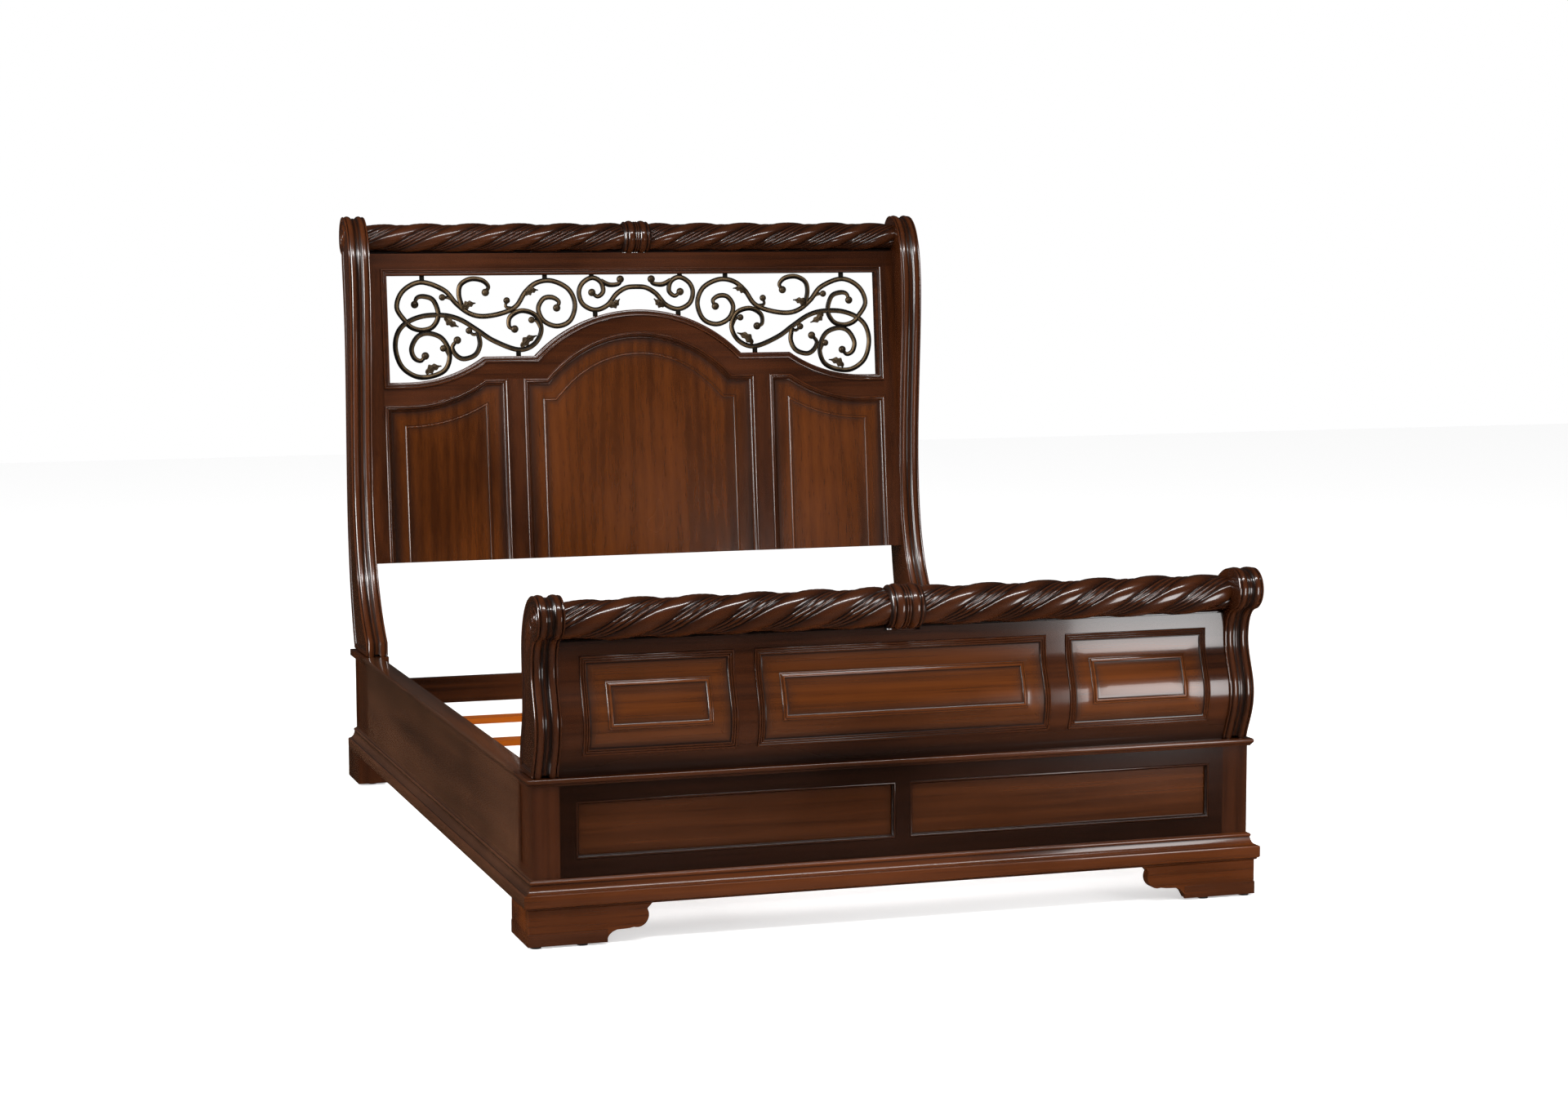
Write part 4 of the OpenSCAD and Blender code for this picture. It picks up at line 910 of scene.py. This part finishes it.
SEAT_HALF, SEAT_DEEP, ROWS, PAST_NECK = 0.0424, 0.0066, 48, 0.012
panel_low, panel_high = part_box("foot_curved_panel")
rows = [panel_low.z + (neck_z + PAST_NECK - panel_low.z) * i / ROWS for i in range(ROWS + 1)]
bm = bmesh.new()
sections = []
for x, top in ((-panel_high.x, panel_high.z), (-SEAT_HALF, panel_high.z),
        (-SEAT_HALF, panel_high.z - SEAT_DEEP), (SEAT_HALF, panel_high.z - SEAT_DEEP),
        (SEAT_HALF, panel_high.z), (panel_high.x, panel_high.z)):
    front = [(x, belly_y(z) + CURVE_BACK, z) for z in rows + [top]]
    sections.append((front + [(x, y + CURVE_THICK, z) for _, y, z in reversed(front)], 0))
skin(bm, sections)
glaze_rub_and_painted_light = bm.verts.layers.float["glaze_rub_and_painted_light"]
# Painted shade darkens the panel towards its bottom and top edges.
for v in bm.verts:
    v[glaze_rub_and_painted_light] = max(0, 0.8 - (v.co.z - panel_low.z) / 0.08, 0.6 - (panel_high.z - v.co.z) / 0.06)
finished(bm, "foot_panel_curved", mahogany_across, stands_for=["foot_curved_panel"])


def framed(low, high, d, n=26):
    """A rectangle's edge moved inwards by d: up the left, along the top, down and back."""
    x0, x1, z0, z1 = low.x + d, high.x - d, low.z + d, high.z - d
    up = [z0 + (z1 - z0) * i / n for i in range(n + 1)]
    return [(x0, z) for z in up] + [(x1, z) for z in reversed(up)]


# From a frame's outer edge inwards: (inwards, forwards, glaze and painted light) in millimetres
REEDS = [(0, -1, .6), (0, 1.4, .9), (1, 3.3, .1), (2.8, 4.3, -.4), (4.6, 3.3, .1), (5.4, 1.7, 1),
    (6.2, 3.1, .1), (8, 4, -.4), (9.8, 3, .1), (10.6, 1.5, 1), (11.4, 2.7, .1), (13, 3.5, -.4),
    (14.6, 2.6, .1), (15.6, 1, 1), (17, .7, .6), (18, .4, .8), (18, -1, .8), (0, -1, .6)]
FOOT_FIELD = [(15, -1, 0), (15, .3, .8), (20, .3, .55), (30, .3, .28), (44, .3, .10), (56, .3, .15),
    (56.6, .4, .95), (57.4, 2.2, .3), (58.6, 3.4, -.3), (60, 3.6, -.4), (61, 2.6, 1), (62, 3.0, .2),
    (63.6, 4.8, -.4), (65.4, 5.3, -.5), (67.2, 4.4, -.1), (68.4, 2.4, 1), (70.5, 1.9, .6),
    (76, 2.0, .28), (84, 2.1, .14), (92, 2.2, .05), (99, 2.2, 0), (105, 2.2, 0)]


def belly_run(bm, low, high, profile):
    """Skins a profile round a rectangle on the belly, each ring drawn to the curve."""
    skin(bm, [([on_belly(x, z, h / 1000) for x, z in framed(low, high, d / 1000)], g)
        for d, h, g in profile])


bm = bmesh.new()
for hand in ("left", "centre", "right"):
    node = "foot_panel_moulding_" + hand
    reeds = bmesh.new()
    belly_run(reeds, *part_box(node), REEDS)
    finished(reeds, "foot_panel_reeds_" + hand, mahogany_across, stands_for=[node], sharp=45)
    belly_run(bm, *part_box(node), FOOT_FIELD)
finished(bm, "foot_panels_figured", amber_across, stands_for=["foot_raised_panels"],
    sharp=45)

# ---- Ledge and rail caps -------------------------------------------------------------
# Solid strips with a half-round nose over a small ogee, mitred round the foot and carried
# along the side rails to the head posts.
# From the underside up: (set-back from the nose, share of the height, glaze and painted light)
NOSE = [(0.0065, 0, .2), (0.0062, .08, .3), (0.0050, .19, .1), (0.0034, .27, .2), (0.0030, .33, .9),
    (0.0013, .42, .1), (0.0003, .55, -.3), (0, .68, -.3), (0.0003, .8, -.3), (0.0013, .91, -.1),
    (0.0032, .985, 0), (0.0050, 1, 0)]
low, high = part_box("foot_ledge")
bm = bmesh.new()
sections = []
for d, share, g in NOSE:
    left, right, front, z = low.x + d, high.x - d, low.y + d, low.z + (high.z - low.z) * share
    sections.append(([(left, high.y, z), (left, front, z), (right, front, z), (right, high.y, z)], g))
skin(bm, sections)
finished(bm, "foot_ledge_moulded", mahogany_across, stands_for=["foot_ledge"])


def nosed_strip(bm, low, high, side):
    """A strip along the bed whose outer edge is nosed."""
    inner, outer = (low.x, high.x) if side > 0 else (high.x, low.x)
    edge = [(outer - side * d, low.z + (high.z - low.z) * share) for d, share, _ in NOSE]
    ring = edge + [(inner + side * 0.004, high.z), (inner + side * 0.001, high.z - 0.002),
        (inner, high.z - 0.006), (inner, low.z)]
    skin(bm, [([(x, y, z) for x, z in ring], 0) for y in (low.y, high.y)])


for side, hand in ((-1, "left"), (1, "right")):
    bm = bmesh.new()
    nosed_strip(bm, *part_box("rail_cap_" + hand), side)
    finished(bm, "rail_cap_nosed_" + hand, mahogany_along_lit, stands_for=["rail_cap_" + hand])

# ---- Plinth --------------------------------------------------------------------------
# A framed board under the ledge with two flat figured panels, a small bead planted round
# each, and a deep base moulding mitred round the front corners.
mahogany_dark = stained_wood("mahogany, toned dark", "X", (0.018, 0.0046, 0.0012),
    (0.0050, 0.0014, 0.0005), 0.6)
mahogany_warm = stained_wood("mahogany, toned warm", "X", (0.092, 0.0210, 0.0024),
    (0.0240, 0.0054, 0.0008), 0.6)
plinth_figured = stained_wood("plinth panel, figured", "X", (0.060, 0.0146, 0.0018),
    (0.0170, 0.0040, 0.0006), 0.9)
refinish(mahogany_dark, "plinth_frame")
refinish(plinth_figured, "plinth_panels")
refinish(mahogany_along_lit, "side_rail_left", "side_rail_right")
# From a bead's outer edge inwards: (inwards, set-back from the plinth's face, glaze and painted light),
# millimetres
BEAD = [(0, -9.5, .5), (0, -1.2, .9), (.9, .3, .1), (2.4, 1.1, -.5), (4, .8, 0), (5.1, -.6, .4),
    (5.6, -2.4, 1), (6.4, -3.4, .1), (7.4, -4.6, .4), (8, -7, .9), (8, -9.5, 1), (0, -9.5, .5)]
PLINTH_MUNTIN = 0.034
low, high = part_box("plinth_beads")
bm = bmesh.new()
for side in (-1, 1):
    a, b = sorted((side * PLINTH_MUNTIN / 2, side * high.x))
    line = [(a, low.z), (a, high.z), (b, high.z), (b, low.z)]
    skin(bm, [([(x, plinth_front - h / 1000, z) for x, z in moved_in(line, d / 1000)], g)
        for d, h, g in BEAD])
finished(bm, "plinth_beads_rounded", mahogany_dark, stands_for=["plinth_beads"], sharp=45)

# Base moulding from the bottom up: (outwards, height, glaze and painted light) in millimetres
BASE = [(0, 0, .3), (14, 0, .2), (18.6, 1.2, .2), (20, 4.8, .9), (21.4, 5.6, .2), (24, 7.2, 0),
    (25, 10, -.3), (25, 31, -.1), (24.2, 33.4, -.5), (22, 34.4, -.2), (19.4, 34.8, .9),
    (18.2, 35.6, .2), (15.2, 36.6, 0), (12.4, 39, 0), (9.9, 42.6, 0), (8.1, 47, 0), (7, 51.4, .2),
    (6.6, 53.8, .9), (7.6, 55, .1), (8.5, 57.2, -.3), (8.4, 59.4, -.5), (7.2, 61.4, -.2),
    (5.2, 62.2, .9), (4.2, 62.6, .1), (2.4, 63.4, -.2), (.8, 64, 0), (0, 64, .4)]
half_wide, side_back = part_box("side_rail_right")[1].x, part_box("base_moulding_left")[1].y
base_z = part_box("base_moulding_front")[0].z
plan = [(-half_wide, side_back), (-half_wide, plinth_front), (half_wide, plinth_front),
    (half_wide, side_back)]
for i, (hand, wood) in enumerate((("left", mahogany_along_lit), ("front", mahogany_warm),
        ("right", mahogany_along_lit))):
    bm = bmesh.new()
    skin(bm, [([(x, y, base_z + z / 1000) for x, y in moved_in(plan, o / 1000, False)[i:i + 2]], g)
        for o, z, g in BASE], False)
    finished(bm, "base_moulding_run_" + hand, wood, stands_for=["base_moulding_" + hand], sharp=40)

# ---- Bracket feet --------------------------------------------------------------------
# Each foot is a front board with a scroll-sawn wing, a side board glued behind it and a
# bevelled shoe moulding round both.
# A shoe's profile: (outwards, height, glaze and painted light) in metres
SHOE = [(-0.001, 0, .3), (0.0060, 0, .2), (0.0070, 0.0015, 0), (0.0070, 0.0185, -.1),
    (0.0062, 0.0205, -.4), (0.0046, 0.0216, .5), (0.0036, 0.0226, .9), (0.0034, 0.0245, .1),
    (0.0026, 0.0272, -.2), (0.0008, 0.029, 0), (-0.001, 0.029, .3), (-0.001, 0, .3)]
SHOE_OUT, BOARD, BLOCK, BLOCK_WIDE, ARRIS, GLUE_GAP = 0.007, 0.028, 0.078, 0.175, 0.0014, 0.0001
SCROLL_R, WING_WIDE = 0.027, 0.107


def eased_block(bm, side, low, high):
    """A block between two corners with its edges eased."""
    block = bmesh.ops.create_cube(bm, size=1)["verts"]
    for v in block:
        v.co = Vector((side * (low[0] + high[0]) / 2 + v.co.x * (high[0] - low[0]),
            *((low[k] + high[k]) / 2 + v.co[k] * (high[k] - low[k]) for k in (1, 2))))
    bmesh.ops.bevel(bm, geom=list({e for v in block for e in v.link_edges}), offset=ARRIS, segments=2,
        profile=0.5, affect="EDGES", material=-1)


def bracket_foot(hand, side):
    low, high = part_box("bracket_foot_" + hand)
    out, top, floor = max(abs(low.x), abs(high.x)) - SHOE_OUT, high.z, low.z
    front, back = low.y + SHOE_OUT, high.y
    inner = out - BLOCK_WIDE
    view = [(out, floor), (inner, floor)] + [(inner - x, top - z) for x, z in ((0.008, 0.066),
        (0.016, 0.059), (0.026, 0.055), (0.040, 0.0545), (0.052, 0.054))]
    view += [(inner - 0.072 + SCROLL_R * math.cos(a), top - 0.026 + SCROLL_R * math.sin(a))
        for a in (math.radians(turn) for turn in range(286, 149, -8))]
    view += [(inner - WING_WIDE, top), (out, top)]
    bm = bmesh.new()
    # The ring just behind the front arris is lightened slightly as rub and painted highlight.
    skin(bm, [([(side * x, y, z) for x, z in moved_in(view, d)], g) for y, d, g in ((front, ARRIS, 0),
        (front + ARRIS, 0, -.3), (front + BOARD - ARRIS, 0, 0), (front + BOARD, ARRIS, 0))])
    eased_block(bm, side, (out - BOARD, front + BOARD + GLUE_GAP, floor), (out, back, top))
    eased_block(bm, side, (out - BLOCK, front + BOARD + 0.001, floor),
        (out - BOARD - GLUE_GAP, front + 0.094, top))
    path = [(inner - 0.004, front), (out, front), (out, back)]
    skin(bm, [([(side * x, y, floor + z) for x, y in moved_in(path, -o, False)], g)
        for o, z, g in SHOE], False)
    finished(bm, "bracket_foot_sawn_" + hand, mahogany_warm, stands_for=["bracket_foot_" + hand], sharp=40)


bracket_foot("left", -1)
bracket_foot("right", 1)

# ---- Slats, cleats and centre legs ---------------------------------------------------
# Planed pine with one coat of clear oil: cleats screwed inside the rails, four slats on them
# and three legs below, which stand on screwed levellers.
PINE_PALE, PINE_DARK = (0.43, 0.096, 0.004), (0.26, 0.052, 0.002)
for axis, node in (("X", "slats"), ("Y", "slat_cleats"), ("Z", "centre_legs")):
    refinish(stained_wood("oiled pine, grain along " + axis, axis, PINE_PALE, PINE_DARK, 0.9, 0.15), node)

# ---- Hardware ------------------------------------------------------------------------
# Zinc-plated corner brackets, bolts, slat screws and levellers; black nylon glides.
def plain_finish(name, pale, dark, metallic, rough, scale):
    """Mottled metal or plastic: patches of two tones, an uneven sheen and fine scratches."""
    finish, tree, surface = new_finish(name)
    place = add_node(tree, "TexCoord", {}).outputs["Object"]
    patch = add_node(tree, "TexNoise", {"Vector": place, "Scale": scale, "Detail": 5}).outputs["Fac"]
    scratch = add_node(tree, "TexNoise", {"Vector": place, "Scale": scale * 9}).outputs["Fac"]
    tone = add_node(tree, "Mix", {0: patch, 6: (*dark, 1), 7: (*pale, 1)}, data_type="RGBA")
    sheen = add_node(tree, "MapRange", {0: patch, 1: 0.3, 2: 0.7, 3: rough - 0.08, 4: rough + 0.12})
    bump = add_node(tree, "Bump", {"Strength": 0.3, "Distance": 0.0002, "Height": scratch})
    set_sockets(tree, surface, {"Base Color": tone.outputs[2], "Roughness": sheen.outputs[0],
        "Normal": bump.outputs[0], "Metallic": metallic})
    return finish


zinc = plain_finish("zinc-plated steel", (0.62, 0.61, 0.56), (0.40, 0.40, 0.38), 1.0, 0.34, 60)
nylon = plain_finish("black nylon", (0.022, 0.022, 0.023), (0.012, 0.012, 0.013), 0.0, 0.48, 90)
refinish(zinc, "slat_screws", "leveller_foot_end", "leveller_middle", "leveller_head_end",
    "rail_brackets", "bracket_bolts")
refinish(nylon, "glides")
